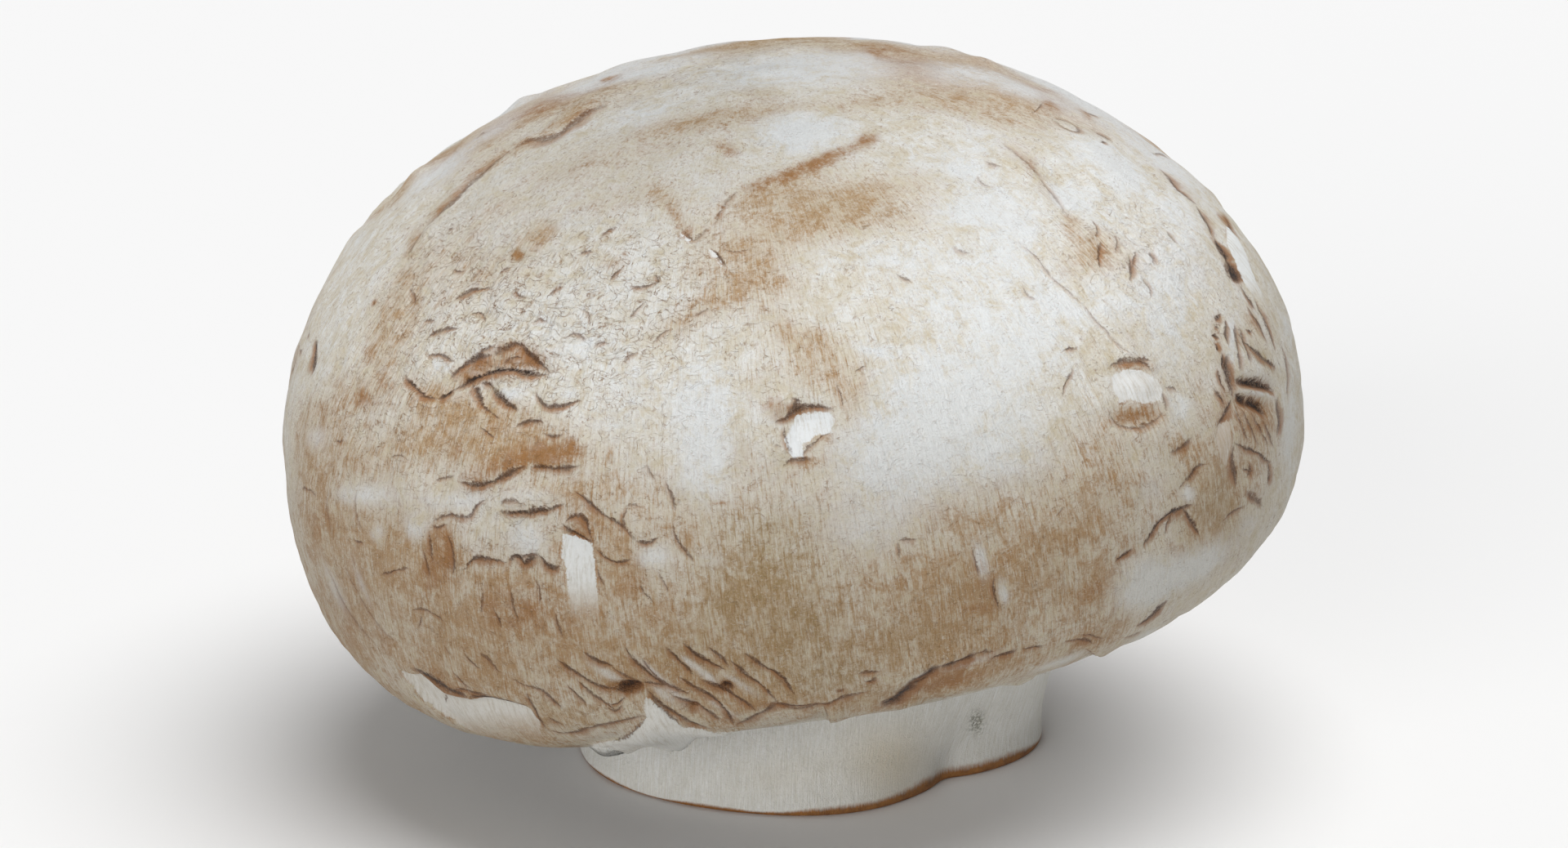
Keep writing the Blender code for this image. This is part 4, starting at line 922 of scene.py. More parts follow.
def stem_path():
    """Waisted stem down to the rounded edge of the cut, and in to its centre."""
    share = np.linspace(0.0, 1.0, 40)
    top = WIDEST_HEIGHT - STEM_TOP_DROP
    height = top + (STEM_EDGE_ROUND * 2 - top) * share
    ends = STEM_TOP_RADIUS + (STEM_FOOT_RADIUS - STEM_TOP_RADIUS) * share
    waist = (STEM_TOP_RADIUS + STEM_FOOT_RADIUS) / 2 - STEM_WAIST_RADIUS
    radius = ends - waist * np.sin(math.pi * share)
    turn = np.radians(np.linspace(0.0, -90.0, 6))
    edge = STEM_FOOT_RADIUS - STEM_EDGE_ROUND
    rim = np.stack([edge + STEM_EDGE_ROUND * np.cos(turn), STEM_EDGE_ROUND * (1.0 + np.sin(turn))], 1)
    side = np.concatenate([np.stack([radius, height], 1), rim])
    density = 0.35 + smooth_step(-side[:, 1], -8.0, -5.0) + 2.0 * smooth_step(-side[:, 1], -1.2, -0.4)
    side = spread_rows(side, density, STEM_ROWS)[1:]
    inward = np.array(STEM_CUT_RADII)
    return np.concatenate([side, np.stack([inward, inward * 0.0], 1)])


def column_azimuths(columns, front_share):
    """Azimuths once round, closer together on the side that the camera sees."""
    fine = np.linspace(0.0, 360.0, 3601)
    away = np.abs(turn_between(fine, FRONT_AZIMUTH))
    density = 1.0 + (front_share - 1.0) * (1.0 - smooth_step(away, 80.0, 110.0))
    run = np.concatenate([[0.0], np.cumsum((density[1:] + density[:-1]) / 2)])
    return np.interp(np.arange(columns) / columns * run[-1], run, fine)


def polar(points):
    """Distance from the upright axis, and azimuth (degrees)."""
    radius = np.hypot(points[..., 0], points[..., 1])
    return radius, np.degrees(np.arctan2(points[..., 1], points[..., 0]))


def droop_veil(points):
    """Bends the veil's torn edge out and down where it hangs free."""
    radius, azimuth = polar(points)
    level = WIDEST_HEIGHT - VEIL_DROP
    root = LIP_RADIUS - LIP_ROUND
    near = 1.0 - smooth_step(np.abs(points[..., 2] - level), VEIL_THICKNESS * 0.8, VEIL_THICKNESS * 1.3)
    reach = np.clip((root - radius) / (root - VEIL_EDGE_RADIUS), 0.0, 1.0)
    reach = reach * near * (radius > STEM_TOP_RADIUS + 2.0)
    droop = sum(share * bell(azimuth, centre, spread) for centre, spread, share in VEIL_DROOPS)
    droop = np.minimum(droop, 1.0)
    ragged = sum(height * np.sin(np.radians(azimuth * count + shift)) for height, count, shift in VEIL_RAGS)
    grown = 1.0 + (VEIL_DROOP_OUT * droop + ragged) * reach / np.maximum(radius, 1e-6)
    points[..., :2] *= grown[..., None]
    points[..., 2] -= VEIL_DROOP_DOWN * droop * reach**1.5


def wave_edge(points):
    """Raises and lowers the cap's lower edge round the axis."""
    radius, azimuth = polar(points)
    low = smooth_step(WIDEST_HEIGHT - points[..., 2], 0.0, FLANK_DROP * 0.8)
    outside = smooth_step(radius, STEM_FOOT_RADIUS + 1.0, CHAMBER_RADIUS)
    rise = sum(height * bell(azimuth, centre, spread) for centre, spread, height in EDGE_WAVES)
    points[..., 2] += rise * low * outside


def lump_cap(points):
    """Moves the cap's skin in and out along the line from the cap's centre."""
    from_centre = points - np.array([0.0, 0.0, WIDEST_HEIGHT])
    distance = np.maximum(np.linalg.norm(from_centre, axis=-1), 1e-6)
    radius, azimuth = polar(points)
    elevation = np.degrees(np.arcsin(np.clip(from_centre[..., 2] / distance, -1.0, 1.0)))
    depth = np.hypot(radius / CAP_RADIUS, from_centre[..., 2] / CROWN_RISE)
    off_stem = np.maximum(smooth_step(radius, 15.0, 18.5), smooth_step(from_centre[..., 2], 0.0, 4.0))
    skin = smooth_step(depth, 0.80, 0.97) * off_stem
    outward = np.zeros(points.shape[:-1])
    for centre, level, spread, height in LUMPS:
        across = turn_between(azimuth, centre) * np.cos(np.radians(elevation))
        outward += height * np.exp(-0.5 * (across**2 + (elevation - level) ** 2) / spread**2)
    points += from_centre * (outward * skin / distance)[..., None]


def shape_stem(points):
    """Makes the stem slightly oval, flared at the right, flattened and chipped at the front right."""
    radius, azimuth = polar(points)
    height = points[..., 2]
    is_stem = 1.0 - smooth_step(radius, STEM_FOOT_RADIUS + 0.5, STEM_FOOT_RADIUS + 2.0)
    is_stem = is_stem * (height < WIDEST_HEIGHT)
    oval = sum(rise * np.cos(np.radians(count * (azimuth - top))) for rise, count, top in STEM_WAVES)
    flare = STEM_FLARE * smooth_step(height, *STEM_FLARE_GROWS)
    flare = flare * bell(azimuth, STEM_FLARE_AZIMUTH, STEM_FLARE_SPREAD)
    flare = flare * (1.0 - smooth_step(height, *STEM_FLARE_FADES))
    flat = STEM_FLAT_DEPTH * bell(azimuth, STEM_FLAT_AZIMUTH, STEM_FLAT_SPREAD)
    flat = flat * (1.0 - STEM_FLAT_LOSS * smooth_step(height, *STEM_FLAT_FADES))
    chip = STEM_CHIP_DEPTH * bell(azimuth, STEM_CHIP_AZIMUTH, STEM_CHIP_SPREAD)
    chip = chip * (1.0 - smooth_step(height, *STEM_CHIP_FADES))
    moved = (oval + flare - flat - chip) * is_stem * smooth_step(radius, 0.0, 12.0)
    points[..., :2] *= (1.0 + moved / np.maximum(radius, 1e-6))[..., None]


def lean_cap(points):
    """Turns the cap about a level axis through the pivot. The stem eases from upright at its foot."""
    tip = np.array([-math.sin(math.radians(LEAN_TO_LEFT)), -math.sin(math.radians(LEAN_TO_FRONT))])
    amount = float(np.hypot(*tip))
    axis = np.array([-tip[1], tip[0], 0.0]) / amount
    radius = polar(points)[0]
    up = smooth_step(points[..., 2], LEAN_START_HEIGHT, LEAN_END_HEIGHT)
    out = smooth_step(radius, STEM_FOOT_RADIUS + 1.0, STEM_FOOT_RADIUS + 3.5)
    turn = (math.asin(amount) * np.maximum(up, out))[..., None]
    pivot = np.array([0.0, 0.0, LEAN_PIVOT_HEIGHT])
    arm = points - pivot
    along = (arm @ axis)[..., None] * axis
    turned = arm * np.cos(turn) + np.cross(axis, arm) * np.sin(turn) + along * (1.0 - np.cos(turn))
    points[:] = turned + pivot


def grid_normals(points):
    """Unit normals of a grid that closes on itself round its columns, facing out."""
    down = np.gradient(points, axis=0)
    wrapped = np.concatenate([points[:, -1:], points, points[:, :1]], 1)
    across = (wrapped[:, 2:] - wrapped[:, :-2]) / 2
    normal = np.cross(down, across)
    return normal / np.maximum(np.linalg.norm(normal, axis=-1, keepdims=True), 1e-9)


def in_photo(points):
    """Pixel in the photograph at which the camera, which looks down by its pitch, sees each point."""
    pitch = math.radians(CAMERA_PITCH)
    arm = points - np.array(CAMERA_PLACE)
    depth = arm[..., 1] * math.cos(pitch) - arm[..., 2] * math.sin(pitch)
    up = arm[..., 1] * math.sin(pitch) + arm[..., 2] * math.cos(pitch)
    across = PHOTO_SIZE[0] / 2 + PIXELS_PER_SLOPE * arm[..., 0] / depth
    down = PHOTO_SIZE[1] / 2 - PIXELS_PER_SLOPE * up / depth
    return np.stack([across, down], -1)


def sight_line(across, down):
    """Direction in which the camera looks through a pixel of the photograph."""
    pitch = math.radians(CAMERA_PITCH)
    right = (across - PHOTO_SIZE[0] / 2) / PIXELS_PER_SLOPE
    up = (PHOTO_SIZE[1] / 2 - down) / PIXELS_PER_SLOPE
    forward = math.cos(pitch) + up * math.sin(pitch)
    return np.array([right, forward, up * math.cos(pitch) - math.sin(pitch)])


class Skin:
    """The mushroom's surface as a grid: a profile turned once round, then lumped, waved and leaned."""

    def __init__(self):
        skin = skin_path()
        under = under_path(skin[-1])
        self.profile = np.concatenate([skin, under, stem_path()])
        self.azimuths = column_azimuths(COLUMNS, FRONT_SHARE)
        turn = np.radians(self.azimuths)
        radius = self.profile[:, :1]
        height = np.repeat(self.profile[:, 1:], COLUMNS, 1)
        self.points = np.stack([radius * np.cos(turn), radius * np.sin(turn), height], -1)
        droop_veil(self.points)
        shape_stem(self.points)
        wave_edge(self.points)
        lump_cap(self.points)
        lean_cap(self.points)
        self.normals = grid_normals(self.points)
        self.normals[0] = self.normals[1].mean(0)
        self.normals[-1] = (0.0, 0.0, -1.0)
        steps = np.hypot(*np.diff(self.profile, axis=0).T)
        self.run = np.concatenate([[0.0], np.cumsum(steps)])
        self.pixels = in_photo(self.points)
        self.seen = self.find_seen()
        self.seen_pixels = self.pixels.reshape(-1, 2)[self.seen]

    def find_seen(self):
        """Numbers of the outer grid points that face the camera with nothing much nearer before them."""
        to_camera = np.array(CAMERA_PLACE) - self.points
        away = np.linalg.norm(to_camera, axis=-1)
        facing = np.sum(self.normals * to_camera, -1) / away
        facing[SKIN_ROWS + 2 : SKIN_ROWS + UNDER_ROWS] = -1.0
        across, down = (self.pixels[..., side] // SEEN_CELL for side in range(2))
        cell = (down * (PHOTO_SIZE[0] // SEEN_CELL) + across).astype(int)
        nearest = np.full(cell.max() + 1, np.inf)
        np.minimum.at(nearest, cell, away)
        return np.flatnonzero((facing > SEEN_FACING) & (away < nearest[cell] + SEEN_DEPTH))

    def at_pixel(self, pixel):
        """Point and normal of the surface that the camera sees at a pixel, from the nearest grid point."""
        pixel = np.array(pixel, float)
        spot = self.seen[np.argmin(np.sum((self.seen_pixels - pixel) ** 2, -1))]
        row, column = divmod(int(spot), COLUMNS)
        row = min(max(row, 1), len(self.profile) - 2)
        after = (column + 1) % COLUMNS
        here = self.pixels[row, column]
        down = self.points[row + 1, column] - self.points[row, column]
        across = self.points[row, after] - self.points[row, column]
        moves = np.stack([self.pixels[row + 1, column], self.pixels[row, after]], 1) - here[:, None]
        share = np.clip(np.linalg.lstsq(moves, pixel - here, rcond=None)[0], -1.5, 1.5)
        return self.points[row, column] + share[0] * down + share[1] * across, self.normals[row, column]

    def at_pixels(self, pixels):
        """Points and normals at several pixels, as two arrays."""
        found = [self.at_pixel(pixel) for pixel in pixels]
        return np.array([place for place, _ in found]), np.array([normal for _, normal in found])

    def oval_at(self, across, down, half_width, half_height, tilt):
        """Centre of an oval in the photograph and the ends of its radii, on the surface's tangent plane."""
        centre, normal = self.at_pixel((across, down))
        turn = math.radians(tilt)
        right = sight_line(across + half_width * math.cos(turn), down + half_width * math.sin(turn))
        low = sight_line(across - half_height * math.sin(turn), down + half_height * math.cos(turn))
        height = (centre - CAMERA_PLACE) @ normal
        ends = [line * height / min(line @ normal, GRAZING * np.linalg.norm(line)) for line in (right, low)]
        middle = sight_line(across, down)
        middle = middle * height / min(middle @ normal, GRAZING * np.linalg.norm(middle))
        return centre, centre + ends[0] - middle, centre + ends[1] - middle

    def at(self, azimuth, run):
        """Point and normal at an azimuth (degrees) and a distance from the crown down the profile (mm)."""
        row = float(np.interp(run, self.run, np.arange(len(self.run))))
        column = float(np.interp(azimuth % 360.0, np.append(self.azimuths, 360.0), np.arange(COLUMNS + 1)))
        row_share, column_share = row % 1.0, column % 1.0
        rows = [int(row), min(int(row) + 1, len(self.run) - 1)]
        columns = [int(column) % COLUMNS, (int(column) + 1) % COLUMNS]
        corners = self.points[np.ix_(rows, columns)]
        edges = corners[0] * (1.0 - row_share) + corners[1] * row_share
        return edges[0] * (1.0 - column_share) + edges[1] * column_share, self.normals[rows[0], columns[0]]


def plane_waves(points, length, count, seed):
    """Bumpy field about 0, mostly within 1: a sum of plane waves of one length, in random directions."""
    random = np.random.default_rng(seed)
    way = random.normal(size=(count, 3))
    way /= np.linalg.norm(way, axis=1, keepdims=True)
    pace = 2.0 * math.pi / (length * random.uniform(0.7, 1.4, count))
    phase = random.uniform(0.0, 2.0 * math.pi, count)
    total = sum(np.sin(points @ way[k] * pace[k] + phase[k]) for k in range(count))
    return total * math.sqrt(1.0 / count)


def outline_distance(spots, corners):
    """Distance from each spot to a closed outline in a plane, above 0 inside it."""
    start, way = corners, np.roll(corners, -1, 0) - corners
    arm = spots[:, None] - start
    share = np.clip(np.sum(arm * way, -1) / np.sum(way * way, -1), 0.0, 1.0)
    gap = np.linalg.norm(arm - share[..., None] * way, axis=-1).min(1)
    across = (arm[..., 1] >= 0.0) != (arm[..., 1] >= way[..., 1])
    slope = way[..., 0] / np.where(way[..., 1] == 0.0, 1e-9, way[..., 1])
    crossed = across & (arm[..., 0] < arm[..., 1] * slope)
    return np.where(crossed.sum(1) % 2 == 1, gap, -gap)


class Marks:
    """What is drawn on the skin, kept as values at the grid's points, and how far it lifts the surface."""

    def __init__(self, skin):
        self.skin = skin
        self.spots = skin.points.reshape(-1, 3)
        self.facing = skin.normals.reshape(-1, 3)
        rows = np.arange(len(skin.profile))
        is_outer = (rows < SKIN_ROWS + 3) | (rows > SKIN_ROWS + UNDER_ROWS)
        self.is_outer = np.repeat(is_outer, COLUMNS)
        count = len(self.spots)
        self.lift = np.zeros(count)
        self.tints = {name: np.zeros(count) for name in ("tan", "brown", "olive", "pale", "cells", "painted_shade")}
        self.bare = np.tile((-9.0, 0.0, 0.0), (count, 1))
        self.layers = [np.tile((9.0, 0.0, 0.0), (count, 1)) for _ in range(CRACK_LAYERS)]

    def near(self, places, reach):
        """Numbers of the outer grid points in a box round some places, wider by reach."""
        low, high = places.min(0) - reach, places.max(0) + reach
        inside = np.all((self.spots > low) & (self.spots < high), axis=1)
        return np.flatnonzero(inside & self.is_outer)

    def blob_value(self, centre, right, down, strength):
        """Grid points near a blob, and its bell curve in the frame of its two radii and their normal."""
        sides = np.stack([right - centre, down - centre])
        size = float(np.linalg.norm(sides, axis=1).max())
        normal = np.cross(sides[0], sides[1])
        normal *= max(size, BLOB_THINNEST) / np.linalg.norm(normal)
        near = self.near(centre[None], size * BLOB_REACH)
        shares = (self.spots[near] - centre) @ np.linalg.inv(np.stack([*sides, normal]))
        return near, strength * np.exp(-BLOB_FALL * np.sum(shares**2, -1))

    def tint(self, kind, centre, right, down, strength):
        near, value = self.blob_value(centre, right, down, strength)
        field = self.tints[kind]
        field[near] = 1.0 - (1.0 - field[near]) * (1.0 - value)

    def lump(self, centre, right, down, height):
        near, value = self.blob_value(centre, right, down, height)
        self.lift[near] += value

    def bare_place(self, places, normals, tone, depth, share):
        """Signed distance from an outline on the tangent plane, its tone and share, and a drop inside it."""
        centre, normal = places.mean(0), normals.mean(0)
        normal = normal / np.linalg.norm(normal)
        across = np.cross(normal, (0.0, 0.0, 1.0))
        across /= np.linalg.norm(across)
        axes = np.stack([across, np.cross(normal, across)], 1)
        near = self.near(places, BARE_REACH)
        near = near[self.facing[near] @ normal > 0.0]
        signed = outline_distance((self.spots[near] - centre) @ axes, (places - centre) @ axes)
        self.lift[near] -= depth * smooth_step(signed, -0.12, 0.25) * share[near]
        closer = (signed > self.bare[near, 0]) & (signed > -BARE_REACH)
        near, signed = near[closer], signed[closer]
        self.bare[near] = np.stack([signed, np.full(len(near), tone), share[near]], -1)

    def crack(self, places, normals, half, dark, step, reach, relief=1.0):
        """One crack along a smoothed path: its signed distance, half width and darkness, groove and step."""
        path, facing = cut_corners(places, 2), cut_corners(normals, 2)[:-1]
        way = np.diff(path, axis=0)
        length = np.maximum(np.linalg.norm(way, axis=1), 1e-6)
        below = np.cross(way, facing) / length[:, None]
        if below.mean(0)[2] > 0.0:
            below = -below
        run = np.concatenate([[0.0], np.cumsum(length)])
        near = self.near(path, max(reach, STEP_REACH))
        near = near[self.facing[near] @ facing.mean(0) > 0.0]
        arm = self.spots[near][:, None] - path[:-1]
        share = np.clip(np.sum(arm * way, -1) / length**2, 0.0, 1.0)
        arm = arm - share[..., None] * way
        best = np.argmin(np.linalg.norm(arm, axis=-1), 1)
        row = np.arange(len(near))
        arm, share = arm[row, best], share[row, best]
        gap = np.linalg.norm(arm, axis=-1)
        side = np.where(np.sum(arm * below[best], -1) < 0.0, -1.0, 1.0)
        along = run[best] + share * length[best]
        end = np.sqrt(np.clip(np.minimum(along, run[-1] - along) / (0.2 * run[-1] + 0.1), 0.0, 1.0))
        depth = GROOVE_DEPTH * max(half - GROOVE_FROM, 0.0) * np.exp(-((gap / max(half * 1.3, 0.2)) ** 2))
        jump = step / 2.0 * np.tanh(gap / STEP_SHARPNESS) * np.exp(-((gap / STEP_SPREAD) ** 2))
        self.lift[near] -= end * (depth + side * jump) * relief
        fade = end * (1.0 - smooth_step(gap, reach * 0.5, reach))
        width = half * fade * (0.9 + 0.3 * np.sin(along * 3.1 + run[-1] * 7.0))
        values = np.stack([side * gap, width, dark * fade], -1)
        self.lay(near[gap < reach], values[gap < reach])

    def lay(self, near, values):
        """Puts a crack's values in the layer where the fewest others are in the way."""
        clashes = [np.count_nonzero(layer[near, 1]) for layer in self.layers]
        layer = self.layers[int(np.argmin(clashes))]
        closer = (np.abs(values[:, 0]) < np.abs(layer[near, 0])) | (layer[near, 1] == 0.0)
        layer[near[closer]] = values[closer]


def seen_share(places, normals):
    """How much narrower a crack looks than it is, where the camera sees the surface aslant."""
    way = np.diff(places, axis=0)
    length = np.maximum(np.linalg.norm(way, axis=1), 1e-6)
    sight = places[:-1] - np.array(CAMERA_PLACE)
    sight /= np.linalg.norm(sight, axis=1, keepdims=True)
    along = np.sqrt(1.0 - (np.sum(way * sight, 1) / length) ** 2)
    across = np.abs(np.sum(normals[:-1] * sight, 1))
    return max(float(np.average(across / along, weights=length)), NARROWEST_SHARE)


def draw_seen_marks(skin, marks):
    """The marks that the photograph shows, laid on the surface where the camera sees them."""
    for kind, groups in STAINS_AND_PAINTED_LIGHT.items():
        for blobs in groups.values():
            for blob in blobs:
                marks.tint(kind, *skin.oval_at(*blob[:5]), blob[5])
    for blobs in RELIEF.values():
        for blob in blobs:
            marks.lump(*skin.oval_at(*blob[:5]), blob[5])
    down = skin.pixels[..., 1].ravel()
    for name, (tone, depth, *outline) in BARE_PLACES.items():
        places, normals = skin.at_pixels(outline)
        share = 1.0 - smooth_step(down, *BARE_FADES[name]) if name in BARE_FADES else np.ones(len(down))
        marks.bare_place(places, normals, tone, depth, share)
    for strokes in CRACKS.values():
        for half, dark, step, *route in strokes:
            places, normals = skin.at_pixels(route)
            share = seen_share(places, normals)
            marks.crack(places, normals, half / share, dark, step, CRACK_REACH / share, share**2)


def draw_hidden_marks(skin, marks):
    """Marks of the same kinds over the sides and back, scattered by seeded chance."""
    random = np.random.default_rng(HIDDEN_SEED)
    for kind, count, size, strength in HIDDEN_STAINS:
        for _ in range(count):
            azimuth = random.uniform(*HIDDEN_AZIMUTHS)
            run = random.uniform(HIDDEN_STAINS_FROM, HIDDEN_LOWEST)
            wide, tall = size * random.uniform(0.5, 1.4), size * random.uniform(0.4, 1.1)
            centre = skin.at(azimuth, run)[0]
            turn = math.degrees(wide / max(math.hypot(centre[0], centre[1]), 4.0))
            right, down = skin.at(azimuth + turn, run)[0], skin.at(azimuth, run + tall)[0]
            marks.tint(kind, centre, right, down, strength * random.uniform(0.6, 1.1))
    for _ in range(HIDDEN_LUMPS):
        azimuth = random.uniform(*HIDDEN_AZIMUTHS)
        run = random.uniform(HIDDEN_LUMPS_FROM, HIDDEN_LOWEST)
        centre = skin.at(azimuth, run)[0]
        right = skin.at(azimuth + random.uniform(2, 6), run)[0]
        down = skin.at(azimuth, run + HIDDEN_LUMP_REACH)[0]
        marks.lump(centre, right, down, random.choice(HIDDEN_LUMP_HEIGHTS))
    for count, size, half, step in HIDDEN_CRACKS:
        for _ in range(count):
            azimuth = random.uniform(*HIDDEN_AZIMUTHS)
            run = HIDDEN_LOWEST - HIDDEN_CRACKS_SPAN * random.uniform() ** 1.6
            heading, bend = random.uniform(-0.9, 0.9), random.uniform(-0.5, 0.5)
            ends = []
            for _ in range(random.integers(4, 8)):
                ends.append(skin.at(azimuth, min(run, HIDDEN_LOWEST)))
                azimuth += math.degrees(size * math.cos(heading) / max(np.hypot(*ends[-1][0][:2]), 4.0))
                run += size * math.sin(heading)
                heading += bend + random.uniform(-0.5, 0.5)
            places, normals = np.array([end[0] for end in ends]), np.array([end[1] for end in ends])
            darkness = random.uniform(0.45, 0.95)
            marks.crack(places, normals, half * random.uniform(0.6, 1.3), darkness, step, HIDDEN_REACH)


def waves(points, height, length, count, seed):
    """Plane waves of a given height."""
    return height * plane_waves(points, length, count, seed)


def roughen(skin, marks):
    """Low uneven swelling of the cap, finer where the grid is fine, and a tan that deepens to the lip."""
    rows = np.repeat(np.arange(len(skin.profile)), COLUMNS)
    on_cap = 1.0 - smooth_step(rows.astype(float), SKIN_ROWS - 10.0, SKIN_ROWS - 2.0)
    azimuths = np.tile(skin.azimuths, len(skin.profile))
    fine = 1.0 - smooth_step(np.abs(turn_between(azimuths, FRONT_AZIMUTH)), 75.0, 100.0)
    swell = sum(waves(marks.spots, *values) for values in SWELLS)
    grit = waves(marks.spots, *GRIT) * fine
    cushions = waves(marks.spots, *CUSHIONS) * marks.tints["cells"] * fine
    marks.lift += (swell + grit + cushions) * on_cap
    run = np.repeat(skin.run, COLUMNS)
    uneven = 1.0 + waves(marks.spots, *FLANK_UNEVEN)
    flank = FLANK_TAN * smooth_step(run + 2.0 * uneven, *FLANK_SPAN) * on_cap * uneven
    flank = flank * (1.0 - PALE_FLANK_LOSS * bell(azimuths, PALE_FLANK_AZIMUTH, PALE_FLANK_SPREAD))
    marks.tints["tan"] = 1.0 - (1.0 - marks.tints["tan"]) * (1.0 - np.clip(flank, 0.0, 0.9))


def put(name, data):
    """Adds an object to the scene."""
    thing = bpy.data.objects.new(name, data)
    bpy.context.scene.collection.objects.link(thing)
    return thing


def grid_mesh(name, points):
    """Closed mesh of a grid that closes round its columns, with a single point at each end."""
    rows, columns = points.shape[:2]
    places = np.concatenate([points[:1, 0], points[1:-1].reshape(-1, 3), points[-1:, 0]]) * MM
    index = 1 + np.arange((rows - 2) * columns).reshape(rows - 2, columns)
    after = np.roll(index, -1, 1)
    quads = np.stack([index[:-1], index[1:], after[1:], after[:-1]], -1).reshape(-1, 4)
    last = len(places) - 1
    cap = np.stack([np.zeros(columns, int), index[0], after[0]], 1)
    foot = np.stack([index[-1], np.full(columns, last), after[-1]], 1)
    mesh = bpy.data.meshes.new(name)
    mesh.from_pydata(places.tolist(), [], cap.tolist() + quads.tolist() + foot.tolist())
    mesh.shade_smooth()
    return mesh


def give_values(mesh, name, values):
    """Stores a grid of three numbers a point as an attribute of the mesh, by the same order of points."""
    flat = np.concatenate([values[:1, 0], values[1:-1].reshape(-1, 3), values[-1:, 0]])
    attribute = mesh.attributes.new(name, "FLOAT_VECTOR", "POINT")
    attribute.data.foreach_set("vector", flat.astype(np.float32).ravel())


class Number:
    """A shader value. Arithmetic on it adds Math nodes."""

    def __init__(self, recipe, socket):
        self.recipe = recipe
        self.socket = socket

    def math(self, operation, *others, clamp=False):
        inputs = {place: value for place, value in enumerate((self, *others))}
        node = self.recipe.node("ShaderNodeMath", {"operation": operation, "use_clamp": clamp}, inputs)
        return Number(self.recipe, node.outputs[0])

    def __add__(self, other):
        return self.math("ADD", other)

    __radd__ = __add__

    def __mul__(self, other):
        return self.math("MULTIPLY", other)

    __rmul__ = __mul__

    def __sub__(self, other):
        return self.math("SUBTRACT", other)

    def __rsub__(self, other):
        return self.math("MULTIPLY_ADD", -1.0, other)

    def __truediv__(self, other):
        return self.math("DIVIDE", other)

    def size(self):
        return self.math("ABSOLUTE")

    def least(self, other):
        return self.math("MINIMUM", other)

    def most(self, other):
        return self.math("MAXIMUM", other)

    def clamped(self):
        return self.math("ADD", 0.0, clamp=True)

    def rise(self, low, high):
        """0 at low, 1 at high, easing between them."""
        inputs = {"Value": self, "From Min": low, "From Max": high}
        node = self.recipe.node("ShaderNodeMapRange", {"interpolation_type": "SMOOTHSTEP"}, inputs)
        return Number(self.recipe, node.outputs["Result"])


class Recipe:
    """A material's node tree, with one method that adds a node."""

    def __init__(self, name):
        self.material = bpy.data.materials.new(name)
        self.material.use_nodes = True
        self.tree = self.material.node_tree
        self.shader = self.tree.nodes["Principled BSDF"]

    def node(self, kind, settings=None, inputs=None):
        made = self.tree.nodes.new(kind)
        for name, value in (settings or {}).items():
            setattr(made, name, value)
        for name, value in (inputs or {}).items():
            self.feed(made.inputs[name], value)
        return made

    def feed(self, socket, value):
        if isinstance(value, Number):
            value = value.socket
        if isinstance(value, bpy.types.NodeSocket):
            self.tree.links.new(value, socket)
        else:
            socket.default_value = value

    def read(self, name):
        """The three numbers of an attribute."""
        source = self.node("ShaderNodeAttribute", {"attribute_name": name})
        split = self.node("ShaderNodeSeparateXYZ", None, {0: source.outputs["Vector"]})
        return [Number(self, split.outputs[place]) for place in range(3)]

    def read_vector(self, name):
        return self.node("ShaderNodeAttribute", {"attribute_name": name}).outputs["Vector"]

    def stretched(self, vector, scale):
        return self.node("ShaderNodeMapping", None, {"Vector": vector, "Scale": scale}).outputs["Vector"]

    def noise(self, vector, scale, detail=2.0, roughness=0.5, distortion=0.0):
        """Noise about 0, mostly between -0.5 and 0.5."""
        inputs = {"Vector": vector, "Scale": scale, "Detail": detail, "Roughness": roughness}
        node = self.node("ShaderNodeTexNoise", None, {**inputs, "Distortion": distortion})
        return Number(self, node.outputs["Fac"]) - 0.5

    def mix(self, share, first, second, blend="MIX"):
        """Colour first where share is 0, second where it is 1."""
        settings = {"data_type": "RGBA", "blend_type": blend}
        node = self.node("ShaderNodeMix", settings, {0: share, 6: first, 7: second})
        return node.outputs[2]

    def bump(self, height, distance):
        inputs = {"Height": height, "Distance": distance}
        return self.node("ShaderNodeBump", None, inputs).outputs["Normal"]


def colour(red, green, blue):
    """Linear colour of an sRGB one given from 0 to 255."""
    shares = np.array([red, green, blue]) / 255.0
    linear = np.where(shares <= 0.04045, shares / 12.92, ((shares + 0.055) / 1.055) ** 2.4)
    return (*[float(value) for value in linear], 1.0)


SKIN_WHITE = colour(244, 244, 240)
SKIN_CREAM = colour(216, 203, 175)
SKIN_PALE = colour(241, 244, 245)
SKIN_STREAK = colour(186, 158, 114)
SKIN_TAN = colour(186, 150, 100)
SKIN_OLIVE = colour(166, 144, 96)
SKIN_BROWN = colour(168, 118, 63)
SKIN_FLECK = colour(150, 114, 74)
STEM_WHITE = colour(250, 250, 246)
STEM_GREY = colour(230, 227, 216)
STEM_TAN = colour(216, 196, 156)
SPOT_GREY = colour(122, 120, 98)
RIM_BROWN = colour(186, 126, 62)
RIM_DARK = colour(118, 76, 40)
UNDER_PINK = colour(186, 160, 146)
UNDER_PALE = colour(222, 210, 198)
BARE_WHITE = colour(243, 246, 247)
BARE_GREY = colour(208, 202, 190)
BARE_TAN = colour(196, 168, 132)
# Brown band below each crack, partly browning and partly painted shadow under the raised upper side; also
# the brown border of bare places
BROWNING_AND_PAINTED_SHADOW = colour(166, 114, 66)
CRACK_BROWN = colour(104, 64, 36)
CRACK_DARK = colour(40, 25, 16)
# Painted shade of the lower flank, multiplied into the skin
LOWER_FLANK_PAINTED_SHADE = colour(203, 200, 194)
# Painted shade over the upper left, the front and the veil fold, multiplied into the skin
PAINTED_SHADE_GREY = colour(222, 223, 224)


